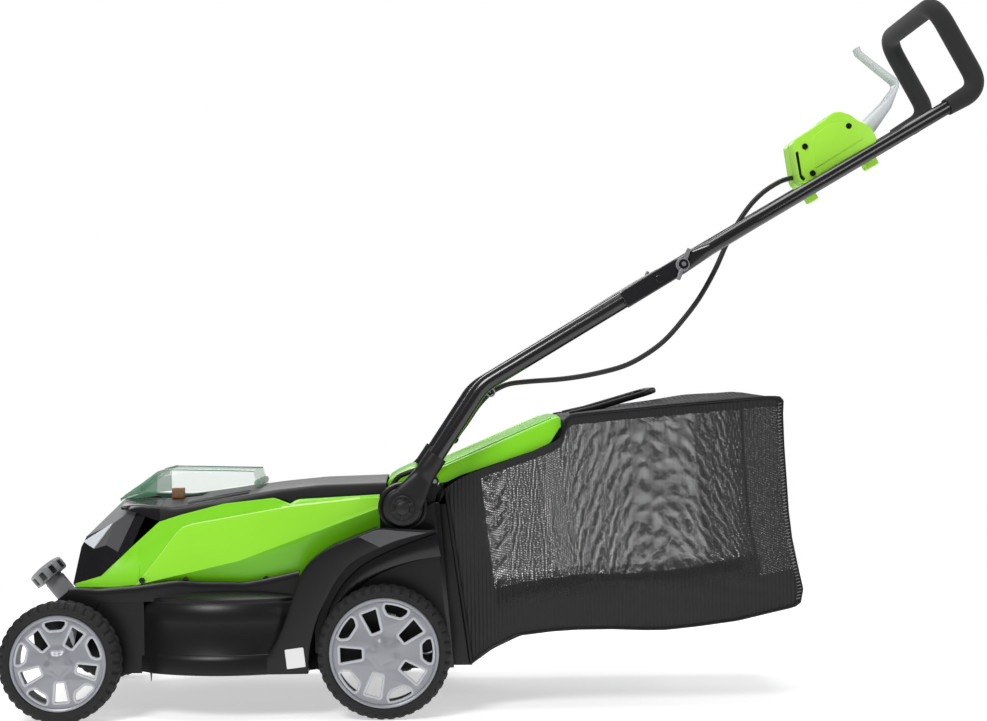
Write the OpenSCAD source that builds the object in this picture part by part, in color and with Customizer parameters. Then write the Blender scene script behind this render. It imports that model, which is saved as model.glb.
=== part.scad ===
// Battery rotary lawn mower, 35 cm cut, with a folding handle and a rear bag.
// Millimetres. Front towards -X, handle towards +X, left-hand side towards -Y, up +Z.
// The origin is on the ground, under the middle of the whole mower.

/* [Wheels] */
// Outer radius of a front tyre
front_tyre_r = 82; // [76:1:84]
// Outer radius of a rear tyre
rear_tyre_r = 90; // [84:1:90]
// Radius of a front rim
front_rim_r = 65; // [60:1:66]
// Radius of a rear rim
rear_rim_r = 74; // [68:1:76]
// Distance between the front and rear axles
wheelbase = 436.5; // [430:0.5:440]
// Overall width over the tyres
track_w = 400; // [396:1:404]
// Width of a tyre
tyre_w = 40; // [36:1:40]
// Radius of an axle
axle_r = 6; // [5:0.5:7]

/* [Deck] */
// Radius of the circle that the blade cuts
blade_r = 172; // [160:1:175]
// Outer radius of the blade drum
drum_r = 190; // [188:1:191]
// Height of the deck's lower rim above the ground
deck_z = 62; // [58:1:64]
// Width of the deck between the wheels' inner faces
deck_w = 300; // [290:2:302]
// Width of the green hood
hood_w = 284; // [276:2:286]
// Travel of the cutting height, along the slot
lift = 41; // [30:1:41]

/* [Handle] */
// Diameter of a lower handle tube
lower_tube_d = 22; // [20:1:22]
// Diameter of the upper handle tube
upper_tube_d = 19; // [17:1:19]
// Diameter over the foam grip
grip_d = 27; // [24:1:29]
// Half the distance between the lower tubes
lower_y = 168; // [167:0.5:169]
// Half the width of the grip loop
grip_y = 113; // [100:1:120]

/* [Bag] */
// Width of the grass bag
bag_w = 276; // [260:2:280]
// Thickness of the bag's wall solid
bag_wall = 4; // [3:0.5:5]
// Diameter of the bag's carrying handle
bag_handle_d = 9; // [7:1:10]

/* [Hidden] */

$fn = 48;
cut = 1;          // overshoot of a cutting body
fit = 0.05;       // radial clearance of a running fit
ball_proud = 0.6; // by how much a corner ball is larger than its bar
gap = 0.3;        // clearance between neighbours that move past each other
datum_x = -4.45;   // distance from the design datum to the middle of the mower

rear_x = -168.2;
front_x = rear_x - wheelbase;
drum_x = -380;
drum_top = 174;
lip_h = 22;       // height of the lip round the drum's foot
link_y = [118, 123];
lift_tilt = 14;   // the lift slots lean back from the vertical by this angle
half = track_w / 2;
deck_h = deck_w / 2;
shade = 0.35;

pivot = [-141, 283];       // handle pivot, as X and Z
arm_angle = 55.5;          // slope of the handle arm and of the tube in it
arm_len = 84;
elbow = [-31, 446];        // bend of the lower tube
bolt = [240, 605];         // joint between lower and upper tube
tube_angle = atan2(bolt[1] - elbow[1], bolt[0] - elbow[0]);
plate_y = lower_y + lower_tube_d / 2 + gap;
plate_t = 7;
upper_y = plate_y + upper_tube_d / 2 + 0.5;
tube_start = along(pivot, arm_angle, 50);
bail_pivot = [490, 774];
box_y = [-155, -95];       // side faces of the switch box
box_split = -125;          // face between the two halves of the switch box

black = [0.07, 0.07, 0.075];
charcoal = [0.17, 0.17, 0.18];
lime = [0.45, 0.8, 0.1];
silver = [0.6, 0.61, 0.64];
steel = [0.5, 0.51, 0.53];

// The whole mower stands centred on the origin.
module placed() {
    translate([-datum_x, 0, 0]) children();
}

// A side outline, given as [x, z] points, as a slab from y0 to y1.
module slab(points, y0, y1) {
    translate([0, y1, 0])
        rotate([90, 0, 0])
            linear_extrude(height = y1 - y0) polygon(points);
}

// A cylinder along Y from y0 to y1, centred on [x, z].
module across(at, r, y0, y1) {
    translate([at[0], y1, at[1]])
        rotate([90, 0, 0]) cylinder(h = y1 - y0, r = r);
}

// The same part on the right-hand side.
module other_side(is_right) {
    if (is_right) mirror([0, 1, 0]) children();
    else children();
}

// A round bar from point a to point b.
module bar(a, b, d) {
    v = b - a;
    len = norm(v);
    translate(a)
        rotate([0, acos(v[2] / len), atan2(v[1], v[0])])
            cylinder(h = len, d = d);
}

function unit(v) = v / norm(v);

// A bent round bar through a list of points. The ball at each corner stands a little proud,
// and its poles lie inside the two bars that meet there.
module bent_bar(points, d) {
    for (i = [0 : len(points) - 2]) bar(points[i], points[i + 1], d);
    for (i = [1 : len(points) - 2]) {
        u = unit(points[i + 1] - points[i]) - unit(points[i - 1] - points[i]);
        translate(points[i])
            rotate([0, acos(u[2] / norm(u)), atan2(u[1], u[0])]) sphere(d = d + ball_proud);
    }
}

// A slot along the lift direction, from y0 to y1, for a bar of radius r.
module lift_slot(at, r, y0, y1) {
    rise = [sin(lift_tilt), cos(lift_tilt)];
    side = r * [rise[1], -rise[0]];
    low = at - r * rise;
    top = at + (lift + r) * rise;
    slab([low + side, top + side, top - side, low - side], y0, y1);
}

// ---------- cutting deck ----------

deck_side = [
    [-534, 60], [-646, 94], [-650, 134], [-597, 176], [-244, 176],
    [-206, 236], [-150, 258], [-98, 288], [-80, 62]
];
deck_hollow = [
    [-640, 50], [-640, 97], [-645, 131], [-595, 170], [-242, 170],
    [-201, 232], [-146, 253], [-103, 280], [-85, 50]
];
chute = [
    [-300, 66], [-215, 108], [-180, 148], [-60, 148], [-60, 255],
    [-116, 255], [-190, 219], [-226, 160], [-300, 160]
];
chute_wall = [
    [-260, 70], [-213, 103], [-178, 144], [-84, 144], [-95, 265], [-118, 265],
    [-190, 226], [-230, 168], [-260, 168]
];

module deck_shell() {
    color(black) placed() difference() {
        union() {
            difference() {
                slab(deck_side, -deck_h, deck_h);
                slab(deck_hollow, 4 - deck_h, deck_h - 4);
            }
            slab(chute_wall, -116, 116);
            for (s = [-1, 1]) door_ear(s);
        }
        // room for the blade drum under the top
        translate([drum_x, 0, 0]) cylinder(h = drum_top + 0.1, r = drum_r + 0.1);
        translate([drum_x, 0, 0]) cylinder(h = deck_z + lip_h + 0.1, r = drum_r + 2.1);
        translate([drum_x, 0, 100]) cylinder(h = 100, r = 12);
        slab(chute, -112, 112);
        lift_slot([front_x, front_tyre_r], axle_r + 1, -200, 200);
        lift_slot([rear_x, rear_tyre_r], axle_r + 1, -200, 200);
        // way for the lever and its hub
        translate([-660, -18, 40]) cube([85, 36, 160]);
        // way for the link plates and the link rod
        slab([[-624, 40], [-545, 40], [-545, 200], [-598, 200], [-598, 150], [-624, 100]],
            link_y[0] - 2, link_y[1] + 3);
        slab([[-250, 70], [-138, 70], [-138, 252], [-250, 252]], link_y[0] - 2, link_y[1] + 3);
        across([-97, 316], 3 + fit, -150, 150);
    }
}

// Round housing of the blade, with a lip at its foot and the chute's opening behind.
module blade_drum() {
    color(black) placed() difference() {
        union() {
            translate([drum_x, 0, deck_z]) cylinder(h = drum_top - deck_z, r = drum_r);
            translate([drum_x, 0, deck_z]) cylinder(h = lip_h, r = drum_r + 2);
        }
        translate([drum_x, 0, deck_z - 5]) cylinder(h = 105, r = drum_r - 7);
        translate([drum_x, 0, 100]) cylinder(h = 100, r = 12);
        slab(chute, -112, 112);
        // way for the front link plate
        slab([[-624, 40], [-545, 40], [-545, 200], [-624, 200]], link_y[0] - 2, link_y[1] + 3);
    }
}

// Ear that carries the rear door's hinge pin.
module door_ear(s) {
    y0 = s < 0 ? -137 : 130;
    slab([[-116, 270], [-110, 324], [-97, 326], [-91, 318], [-96.5, 290], [-100, 270]], y0, y0 + 7);
}

fender_side = [
    [-98, 252], [-104, 286], [-141, 300], [-166, 270], [-180, 257], [-207, 245],
    [-243, 231], [-268, 212], [-279, 197], [-297, 145], [-310, 112], [-322, 90],
    [-338, 80], [-340, 62], [-271, 62], [-269, 93], [-258, 136], [-245, 160],
    [-232, 186], [-213, 209], [-191, 222], [-158, 236], [-130, 243]
];

module fender(is_right) {
    other_side(is_right) color(black) placed() difference() {
        slab(fender_side, -188, -deck_h);
        // the upper part stays inside the handle arm
        translate([-300, -200, 214]) cube([300, 28, 120]);
        translate([drum_x, 0, 0]) cylinder(h = drum_top + 2, r = drum_r + 0.1);
        translate([drum_x, 0, 0]) cylinder(h = deck_z + lip_h + 0.1, r = drum_r + 2.1);
        across(pivot, 33.5, -200, -100);
    }
}

module pivot_boss(is_right) {
    other_side(is_right) color(black) placed() difference() {
        union() {
            across(pivot, 33.5, -172, -deck_h);
            // stud that carries the arm and the knob
            across(pivot, 4, -190, -171);
        }
        difference() {
            across(pivot, 29, -173, -169);
            across(pivot, 25, -174, -168);
        }
    }
}

// ---------- upper body ----------

nose_side = [
    [-602, 176.5], [-589, 230], [-583, 244], [-534, 294], [-517, 231],
    [-559, 191], [-594, 183], [-594, 176.5]
];

module nose_cover() {
    color(charcoal) placed() difference() {
        slab(nose_side, -128, 128);
        // open behind and underneath
        slab([[-599, 170], [-585, 228], [-579, 242], [-537, 285], [-505, 285], [-505, 170]],
            -125, 125);
    }
}

hood_side = [
    [-593, 176.5], [-593, 182], [-558, 190], [-516, 229], [-478, 264], [-449, 273],
    [-388, 288], [-318, 295], [-293, 286], [-289, 293], [-173, 298], [-176, 262],
    [-209, 242], [-250, 226], [-284, 194], [-290, 176.5]
];

module hood() {
    color(lime) placed() difference() {
        slab(hood_side, -hood_w / 2, hood_w / 2);
        // open underneath and on top, between the two cheeks and their lips
        slab([
            [-584, 170], [-552, 184], [-480, 258], [-388, 284], [-318, 291],
            [-293, 281], [-180, 293], [-180, 262], [-208, 245], [-254, 229],
            [-288, 196], [-286, 170]
        ], -hood_w / 2 + 3, hood_w / 2 - 3);
        translate([-600, -128, 170]) cube([120, 256, 120]);
        translate([-520, -125, 170]) cube([360, 250, 150]);
    }
}

trim_side = [
    [-527, 284], [-449, 274], [-388, 289], [-318, 296], [-289, 294], [-164, 299],
    [-164, 315], [-257, 313], [-315, 308], [-458, 292], [-527, 295.5]
];

module top_trim() {
    color(charcoal) placed() {
        difference() {
            slab(trim_side, -121.5, 121.5);
            // battery well
            translate([-520, -45, 250]) cube([88, 90, 80]);
            // socket of the safety key
            translate([-466, -57.5, 279]) cube([9, 7, 30]);
            translate([-340, -110, 250]) cube([150, 220, 50]);
        }
        // ears and stub pins of the lid's hinge
        for (s = [-1, 1]) scale([1, s, 1]) {
            slab([[-349, 298], [-351.6, 313], [-350, 316.5], [-345, 316.5], [-341, 298]],
                -66, -60.5);
            across(lid_pivot, 2.5, -61, -52);
        }
    }
}

lid_side = [[-541, 297], [-490, 333], [-356, 330], [-350, 300]];
lid_pivot = [-348, 313];

module battery_lid() {
    color([0.5, 0.9, 0.55, shade]) placed() difference() {
        union() {
            slab(lid_side, -70, 70);
            across(lid_pivot, 5, -60, 60);
        }
        slab([[-540, 290], [-535, 297], [-489, 330.5], [-358.5, 327.5], [-353, 290]], -67.5, 67.5);
        across(lid_pivot, 2.5 + fit, -80, 80);
        lid_sill();
    }
}

// The line on which the lid closes, just above the trim.
module lid_sill() {
    slab([[-545, 280], [-545, 297.5], [-458, 293], [-345, 306], [-345, 280]], -80, 80);
}

module battery_pack() {
    color(charcoal) placed() union() {
        translate([-518, -42, 196]) cube([84, 84, 78]);
        translate([-492, -16, 274]) cube([32, 32, 6]);
    }
}

module terminal_block() {
    color(black) placed() difference() {
        translate([-508, -38, 177]) cube([62, 76, 18.5]);
        for (y = [-26, -8, 10]) translate([-500, y, 186]) cube([46, 4, 12]);
    }
}

// Pull key: a head on the trim and a flat blade down in its socket.
module safety_key() {
    color([0.5, 0.25, 0.12]) placed() union() {
        translate([-470, -61, 293]) cube([17, 14, 15]);
        translate([-465, -56, 281]) cube([7, 4, 13]);
    }
}

module controller() {
    color([0.1, 0.3, 0.15]) placed() union() {
        translate([-420, 66, 176]) cube([80, 46, 4]);
        translate([-414, 70, 180]) cube([68, 38, 22]);
    }
}

// ---------- motor and blade ----------

module motor_housing() {
    color(steel) placed() difference() {
        union() {
            translate([drum_x, 0, 176]) cylinder(h = 6, r = 62);
            translate([drum_x, 0, 182]) cylinder(h = 74, r = 52);
            translate([drum_x, 0, 256]) cylinder(h = 8, r = 16);
        }
        translate([drum_x, 0, 170]) cylinder(h = 60, r = 8 + fit);
    }
}

module motor_shaft() {
    color(silver) placed() difference() {
        translate([drum_x, 0, 128]) cylinder(h = 98, r = 8);
        translate([drum_x, 0, 120]) cylinder(h = 30, r = 4);
    }
}

module blade_adapter() {
    color(charcoal) placed() difference() {
        union() {
            translate([drum_x, 0, 104]) cylinder(h = 40, r = 14);
            translate([drum_x, 0, 104]) cylinder(h = 5, r = 48);
            for (a = [0 : 45 : 315])
                translate([drum_x, 0, 108])
                    rotate([0, 0, a]) translate([13, -1.5, 0]) cube([32, 3, 16]);
        }
        translate([drum_x, 0, 100]) cylinder(h = 60, r = 4);
        translate([drum_x, 0, 128]) cylinder(h = 60, r = 8);
    }
}

module blade() {
    color(steel) placed() difference() {
        intersection() {
            translate([drum_x, 0, 98]) cylinder(h = 20, r = blade_r);
            union() {
                translate([drum_x - blade_r, -24, 100]) cube([2 * blade_r, 48, 4]);
                for (a = [0, 180])
                    translate([drum_x, 0, 100]) rotate([0, 0, a])
                        translate([110, 16, 2]) rotate([20, 0, 0]) cube([70, 10, 4]);
            }
        }
        translate([drum_x, 0, 90]) cylinder(h = 30, r = 4);
    }
}

module blade_bolt() {
    color(silver) placed() union() {
        translate([drum_x, 0, 91]) cylinder(h = 9, r = 9, $fn = 6);
        translate([drum_x, 0, 99]) cylinder(h = 51, r = 4);
    }
}

// ---------- undercarriage ----------

module axle(x, z) {
    color(steel) placed() across([x, z], axle_r, -half + 4, half - 4);
}

// Rod between two axle plates, on the right-hand side of the drum.
module link_rod() {
    front = [
        [front_x - 16, 66], [front_x + 14, 66], [-560, 190], [-582, 190]
    ];
    rear = [
        [rear_x - 12, 76], [rear_x + 12, 76], [rear_x + 8, 190], [rear_x - 8, 190]
    ];
    color(steel) placed() difference() {
        union() {
            slab(front, link_y[0], link_y[1]);
            slab(rear, link_y[0], link_y[1]);
            slab([[-582, 184], [-582, 194], [rear_x + 8, 194], [rear_x + 8, 184]],
                link_y[0], link_y[1]);
        }
        across([front_x, front_tyre_r], axle_r, 110, 140);
        across([rear_x, rear_tyre_r], axle_r, 110, 140);
    }
}

// Four push-on nuts, one inside each hub dome.
module wheel_nuts() {
    color(silver) placed() for (s = [-1, 1])
        for (at = [[front_x, front_tyre_r], [rear_x, rear_tyre_r]])
            difference() {
                y0 = s < 0 ? -half + 5 : half - 9;
                across(at, 9, y0, y0 + 4);
                across(at, axle_r, -half, half);
            }
}

lever_dir = [-0.63, 0.777];   // from the deck towards the height knob
knob_base = [-655, 177];

module height_lever() {
    side = [-lever_dir[1], lever_dir[0]];
    foot = knob_base - 46 * lever_dir;
    color(silver) placed() difference() {
        union() {
            across([front_x, front_tyre_r], 13, -14, 14);
            slab([
                knob_base + 14 * side, knob_base - 14 * side, foot - 14 * side,
                [front_x + 12, front_tyre_r], [front_x - 12, front_tyre_r], foot + 14 * side
            ], -13, 13);
        }
        across([front_x, front_tyre_r], axle_r + fit, -20, 20);
    }
}

module height_knob() {
    color(silver) placed()
        translate([knob_base[0], 0, knob_base[1]])
            rotate([0, -atan2(-lever_dir[0], lever_dir[1]), 0]) difference() {
                union() {
                    cylinder(h = 15, r = 26);
                    translate([0, 0, 15]) rotate_extrude()
                        polygon([[0, 0], [26, 0], [22, 3], [14, 5.5], [0, 6.5]]);
                }
                for (a = [11 : 40 : 331])
                    rotate([0, 0, a]) translate([24, -4, 2]) cube([6, 8, 20]);
            }
}

// Coil spring outside the deck wall, behind the rear axle.
module lift_spring() {
    color(steel) placed() translate([-112, -150.2, 96]) rotate([90, 0, 0]) {
        for (i = [0 : 2]) translate([0, 0, 1.2 + 2.9 * i])
            rotate_extrude() translate([13, 0]) circle(r = 1.2);
        translate([12, -1.5, 0]) cube([2, 3, 8]);
    }
}

// ---------- wheels ----------

// One wheel opening between two radii, w0 wide inside and w1 wide outside.
module window(r0, r1, w0, w1) {
    linear_extrude(height = 30, center = true)
        polygon([[r0, -w0 / 2], [r1, -w1 / 2], [r1, w1 / 2], [r0, w0 / 2]]);
}

// Rim with its axis along Z, its outer face up, and the tyre's middle at z = 0.
module rim_shape(r, turn) {
    w = tyre_w / 2;
    difference() {
        union() {
            difference() {
                translate([0, 0, -w + 1]) cylinder(h = 2 * w - 2, r = r);
                translate([0, 0, -w]) cylinder(h = 2 * w - 8, r = r - 5);
                translate([0, 0, w - 4]) cylinder(h = 10, r = r - 5);
            }
            translate([0, 0, -w + 0.5]) cylinder(h = 2 * w - 1, r = 15);
        }
        translate([0, 0, -w - cut]) cylinder(h = 2 * w - 9, r = axle_r + fit);
        translate([0, 0, w - 10.5]) cylinder(h = 7.5, r = 10);
        for (k = [0 : 4]) {
            rotate([0, 0, turn + 72 * k])
                translate([0, 0, w - 5]) window(0.37 * r, 0.83 * r, 0.17 * r, 0.285 * r);
            rotate([0, 0, turn + 36 + 72 * k])
                translate([0, 0, w - 5]) window(0.7 * r, 0.9 * r, 0.27 * r, 0.46 * r);
        }
    }
}

module tyre_shape(r_in, r_out) {
    w = tyre_w / 2;
    rotate_extrude($fn = 96)
        polygon([
            [r_in, -w + 2], [r_in, w - 2], [r_out - 9, w], [r_out - 3, w - 3],
            [r_out, w - 9], [r_out, 9 - w], [r_out - 3, 3 - w], [r_out - 9, -w]
        ]);
}

module at_wheel(x, z, is_right) {
    placed() other_side(is_right)
        translate([x, -half + tyre_w / 2, z]) rotate([90, 0, 0]) children();
}

module rim(x, r_tyre, r, turn, is_right) {
    color(silver) at_wheel(x, r_tyre, is_right) rim_shape(r, turn);
}

module tyre(x, r_tyre, r, is_right) {
    color(black) at_wheel(x, r_tyre, is_right) tyre_shape(r, r_tyre);
}

// ---------- handle ----------

function along(at, angle, d) = at + d * [cos(angle), sin(angle)];
function at_y(p, y) = [p[0], y, p[1]];

module handle_arm(is_right) {
    color(black) other_side(is_right) placed() difference() {
        union() {
            across(pivot, 25, -184, -172.5);
            translate([pivot[0], 0, pivot[1]]) rotate([0, -arm_angle, 0])
                translate([0, -182.5, -14.5]) cube([60, 10, 29]);
            bar(at_y(along(pivot, arm_angle, 42), -lower_y),
                at_y(along(pivot, arm_angle, arm_len), -lower_y), 29);
        }
        bar(at_y(tube_start, -lower_y), at_y(elbow, -lower_y), lower_tube_d);
        across(pivot, 4 + fit, -190, -170);
    }
}

module pivot_knob(is_right) {
    color(charcoal) other_side(is_right) placed() difference() {
        union() {
            across(pivot, 17, -188, -184.3);
            across(pivot, 9, -196, -186);
            for (a = [0 : 60 : 300])
                translate([pivot[0], 0, pivot[1]]) rotate([0, a, 0])
                    translate([-4, -196.5, 6]) cube([8, 10, 9]);
        }
        across(pivot, 4 + fit, -190.5, -180);
    }
}

module lower_tube(is_right) {
    bend = [tube_start, elbow, along(bolt, tube_angle, 24)];
    color(black) other_side(is_right) placed() difference() {
        bent_bar([for (p = bend) at_y(p, -lower_y)], lower_tube_d);
        across(bolt, 3 + fit, -200, -100);
    }
}

function flip(p) = [p[0], -p[1], p[2]];
grip_start = 0.847;       // share of the leg that is bare of foam
leg_points = [
    at_y(along(bolt, tube_angle, 42), -upper_y),
    at_y(along(bolt, tube_angle, 112), -upper_y)
];
rear_corner = [664, -grip_y, 848];
top_corner = [598, -grip_y, 968];
upper_path = concat(
    leg_points, [rear_corner, top_corner, flip(top_corner), flip(rear_corner)],
    [flip(leg_points[1]), flip(leg_points[0])]
);
foam_end = leg_points[1] + grip_start * (rear_corner - leg_points[1]);
leg_dir = unit(rear_corner - leg_points[1]);

// Flattened end of the upper tube, beside the lower tube.
module joint_plate() {
    translate([bolt[0], 0, bolt[1]]) rotate([0, -tube_angle, 0])
        translate([-90, -plate_y - plate_t, -12]) cube([134, plate_t, 24]);
    across(along(bolt, tube_angle, -90), 12.6, -plate_y - plate_t, -plate_y);
}

module upper_tube() {
    color(black) placed() difference() {
        union() {
            bent_bar(upper_path, upper_tube_d);
            joint_plate();
            mirror([0, 1, 0]) joint_plate();
        }
        across(bolt, 3 + fit, -220, 220);
    }
}

// Left half of the foam, hollow for the tube.
module foam_half() {
    difference() {
        bent_bar([foam_end, rear_corner, top_corner, at_y([598, 968], 0)], grip_d);
        bent_bar([foam_end - 10 * leg_dir, rear_corner, top_corner, at_y([598, 968], 5)],
            upper_tube_d + 0.2);
    }
}

module foam_grip() {
    color([0.2, 0.2, 0.2]) placed() {
        foam_half();
        mirror([0, 1, 0]) foam_half();
    }
}

module handle_bolts() {
    color(silver) placed() for (s = [-1, 1]) scale([1, s, 1]) {
        across(bolt, 3, -198, -150);
        across(bolt, 8, -156.8, -151);
    }
}

module wing_nut(is_right) {
    y_in = plate_y + plate_t + gap;
    color(silver) other_side(is_right) placed() difference() {
        union() {
            across(bolt, 8, -y_in - 8, -y_in);
            for (a = [70, 250]) translate([bolt[0], 0, bolt[1]]) rotate([0, -a, 0])
                translate([5, -y_in - 12, -3]) cube([17, 10, 6]);
        }
        across(bolt, 3 + fit, -210, -150);
    }
}

// ---------- switch box ----------

box_side = [
    [397, 774], [438, 800], [452, 812], [462, 814.5], [478, 809], [489, 800],
    [500, 796], [509, 787], [514, 772], [416, 712], [405, 720]
];

// The upper tube's leg, a little larger, to clear the box around it.
module leg_clearance() {
    bar(upper_path[1], upper_path[2], upper_tube_d + 0.1);
}

// Clamps of the outer half round the leg, each given by its place along the leg.
module leg_clamps() {
    for (t = [0.205, 0.46])
        bar(leg_points[1] + t * (rear_corner - leg_points[1]),
            leg_points[1] + (t + 0.045) * (rear_corner - leg_points[1]), 26);
    slab([[404, 712], [418, 702], [430, 718], [414, 730]], -172, box_y[0] + 3);
}

module box_hollow(y0, y1) {
    slab([[404, 772], [452, 806], [476, 803], [504, 782], [506, 775], [418, 722], [410, 726]],
        y0, y1);
}

module bail_way() {
    translate([bail_pivot[0], box_split - 20, bail_pivot[1]]) rotate([0, 15, 0])
        translate([-13, 0, -12]) cube([36, 40, 70]);
}

module switch_box_outer() {
    color(lime) placed() union() {
        difference() {
            union() {
                slab(box_side, box_y[0], box_split);
                leg_clamps();
            }
            box_hollow(box_y[0] + 3, box_split + 1);
            leg_clearance();
            bail_way();
            for (p = box_screw_at) across(p, 2, box_y[0] - 10, box_split + 10);
        }
        // pin of the bail lever
        across(bail_pivot, 3, box_y[0] + 2, box_y[1] - 1);
    }
}

module switch_box_inner() {
    color(lime) placed() difference() {
        slab(box_side, box_split, box_y[1]);
        box_hollow(box_split - 1, box_y[1] - 3);
        leg_clearance();
        bail_way();
        across(bail_pivot, 3 + fit, box_split - 3, box_y[1] + 3);
        across(button_at, 8.3, box_y[1] - 10, box_y[1] + 10);
        for (p = box_screw_at) across(p, 2, box_split - 3, box_y[1] - 8);
    }
}

button_at = [445, 775];
box_screw_at = [[414, 766], [474, 793], [424, 729.5]];

module box_screws() {
    color(black) placed() for (p = box_screw_at) union() {
        across(p, 2, box_y[0], box_y[1] - 9);
        across(p, 4, box_y[0] - 1.5, box_y[0]);
    }
}

module switch_module() {
    color(black) placed() translate([424, -136, 748]) cube([32, 26, 22]);
}

module start_button() {
    color(black) placed() union() {
        across(button_at, 8, box_y[1] - 6, box_y[1] + 7);
        across(button_at, 10, box_y[1] - 9, box_y[1] - 5);
    }
}

// Moulded lever: hub, lower arm, elbow, upper blade and curled tip.
module bail_lever() {
    color([0.8, 0.81, 0.82]) placed() difference() {
        union() {
            across(bail_pivot, 9, box_split - 19.5, box_split + 19.5);
            slab([[484, 778], [497, 768], [561, 852], [549, 859]],
                box_split - 17, box_split + 17);
            slab([[548, 857], [561, 852], [511, 905], [504, 900]],
                box_split - 13, box_split + 13);
            across([505, 904], 5, box_split - 13, box_split + 13);
        }
        across(bail_pivot, 3 + fit, box_split - 30, box_split + 30);
    }
}

// ---------- cable ----------

function ring(a, b, c, r, sides) =
    let (t = (c - a) / norm(c - a), u = cross(t, [0, 1, 0]), v = cross(t, u / norm(u)))
    [for (k = [0 : sides - 1])
        b + r * (cos(360 * k / sides) * u / norm(u) + sin(360 * k / sides) * v)];

// A smooth tube through a list of points, closed at both ends.
module swept_cable(points, r, sides) {
    n = len(points);
    rings = [for (i = [0 : n - 1])
        ring(points[max(i - 1, 0)], points[i], points[min(i + 1, n - 1)], r, sides)];
    verts = [for (q = rings) each q];
    walls = [for (i = [0 : n - 2]) for (k = [0 : sides - 1])
        let (m = (k + 1) % sides)
        [i * sides + k, i * sides + m, (i + 1) * sides + m, (i + 1) * sides + k]];
    start = [[for (k = [sides - 1 : -1 : 0]) k]];
    end = [[for (k = [0 : sides - 1]) (n - 1) * sides + k]];
    polyhedron(verts, concat(start, walls, end), convexity = 6);
}

// Points of a smooth curve through hand-set points, four to a span.
function spline(p0, p1, p2, p3, t) = 0.5 * (2 * p1 + (p2 - p0) * t
    + (2 * p0 - 5 * p1 + 4 * p2 - p3) * t * t + (3 * p1 - p0 - 3 * p2 + p3) * t * t * t);
function smooth(p, steps) = let (n = len(p)) concat(
    [for (i = [0 : n - 2]) for (k = [0 : steps - 1])
        spline(p[max(i - 1, 0)], p[i], p[i + 1], p[min(i + 2, n - 1)], k / steps)],
    [p[n - 1]]);

cable_r = 3.5;
cable_top = [
    [402.2, -125, 727], [385, -129, 722], [358, -138, 705], [334, -145, 680],
    [310, -148, 642], [290, -150, 600], [268, -150, 562], [244, -150, 531],
    [219, -150, 504], [191, -150, 484], [162, -150, 470], [121, -150, 460],
    [79, -150, 454], [31, -150, 451], [-3, -150, 448.5], [-18.7, -150, 437.2]
];
cable_low = [
    [-19.4, -150, 436.6], [-37, -149, 419], [-55, -147, 392], [-80, -143, 360],
    [-100, -139, 342], [-122, -132, 332], [-144, -124, 324], [-152, -116, 315],
    [-157, -112, 304], [-166, -110, 292], [-184, -109, 286]
];

module cable_upper() {
    color(black) placed() swept_cable(smooth(cable_top, 3), cable_r, 8);
}

module cable_lower() {
    color(black) placed() swept_cable(smooth(cable_low, 3), cable_r, 8);
}

// Two clips on the left lower tube: their middle, the cable's slope there, and their base's Y.
clip_at = [[[-19, -150, 437], 42, -159.4], [[-70, -144.9, 374], 52, -156.8]];

module cable_clips() {
    color(silver) placed() for (c = clip_at) {
        base = c[2] - c[0][1];
        translate(c[0]) rotate([0, -c[1], 0]) difference() {
            translate([-3, base, -6.5]) cube([6, 2.5 - base, 13]);
            translate([-5, -cable_r - 0.6, -4.9]) cube([10, 20, 9.8]);
        }
    }
}

// ---------- rear door ----------

door_side = [
    [-107, 306], [-104, 322], [-90, 334], [74, 403], [78, 398], [77, 386], [63, 366],
    [-3, 342], [-62, 323], [-80, 314]
];

module rear_door() {
    color(lime) placed() difference() {
        slab(door_side, -128, 128);
        slab([
            [-120, 290], [-101, 314], [-88, 330], [73, 399.5], [74, 380],
            [70, 340], [-60, 300]
        ], -125, 125);
        across([-97, 316], 3 + fit, -140, 140);
    }
}

module door_hinge_pin() {
    color(steel) placed() across([-97, 316], 3, -137, 137);
}

// ---------- grass bag ----------

bag_side = [
    [-46, 66], [-22, 86], [17, 104], [96, 110], [145, 111], [218, 109], [316, 120],
    [401, 139], [406, 161], [391, 231], [385, 305], [381, 402], [384, 425], [300, 423],
    [84, 404], [81, 372], [66, 362], [-1, 338], [-60, 318], [-78, 306]
];
bag_inner = [
    [-50, 74], [-24, 91], [16, 108], [96, 114], [145, 115], [218, 113], [315, 124],
    [397, 142], [402, 161], [387, 230], [381, 305], [377, 402], [379, 420], [300, 419],
    [88, 400], [85, 370], [68, 358], [0, 334], [-60, 313], [-80, 302]
];

module grass_bag() {
    color(charcoal) placed() difference() {
        slab(bag_side, -bag_w / 2, bag_w / 2);
        slab(bag_inner, -bag_w / 2 + bag_wall, bag_w / 2 - bag_wall);
    }
}

frame_side = [[-94, 288], [-77, 62], [-47, 62], [-79, 306], [-86, 306]];

module bag_frame() {
    color(black) placed() difference() {
        slab(frame_side, -bag_w / 2, bag_w / 2);
        translate([-110, -114, 84]) cube([90, 228, 200]);
        slab([[-46.5, 62], [-78.5, 306], [-20, 306], [-20, 62]], -200, 200);
    }
}

module bag_handle() {
    b = [218, 437];
    y = 58;
    color(black) placed() difference() {
        bent_bar([
            [96, -y, 410], at_y(b - [12, 3.6], -y), [b[0], -y + 12, b[1]],
            [b[0], y - 12, b[1]], at_y(b - [12, 3.6], y), [96, y, 410]
        ], bag_handle_d);
        slab([[60, 380], [60, 402.5], [300, 423.5], [300, 380]], -100, 100);
    }
}

module deck_screws() {
    color(black) placed() for (s = [-1, 1]) scale([1, s, 1])
        for (x = [-440, -330, -500]) across([x, 186], 4, -144, -142);
}

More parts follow.
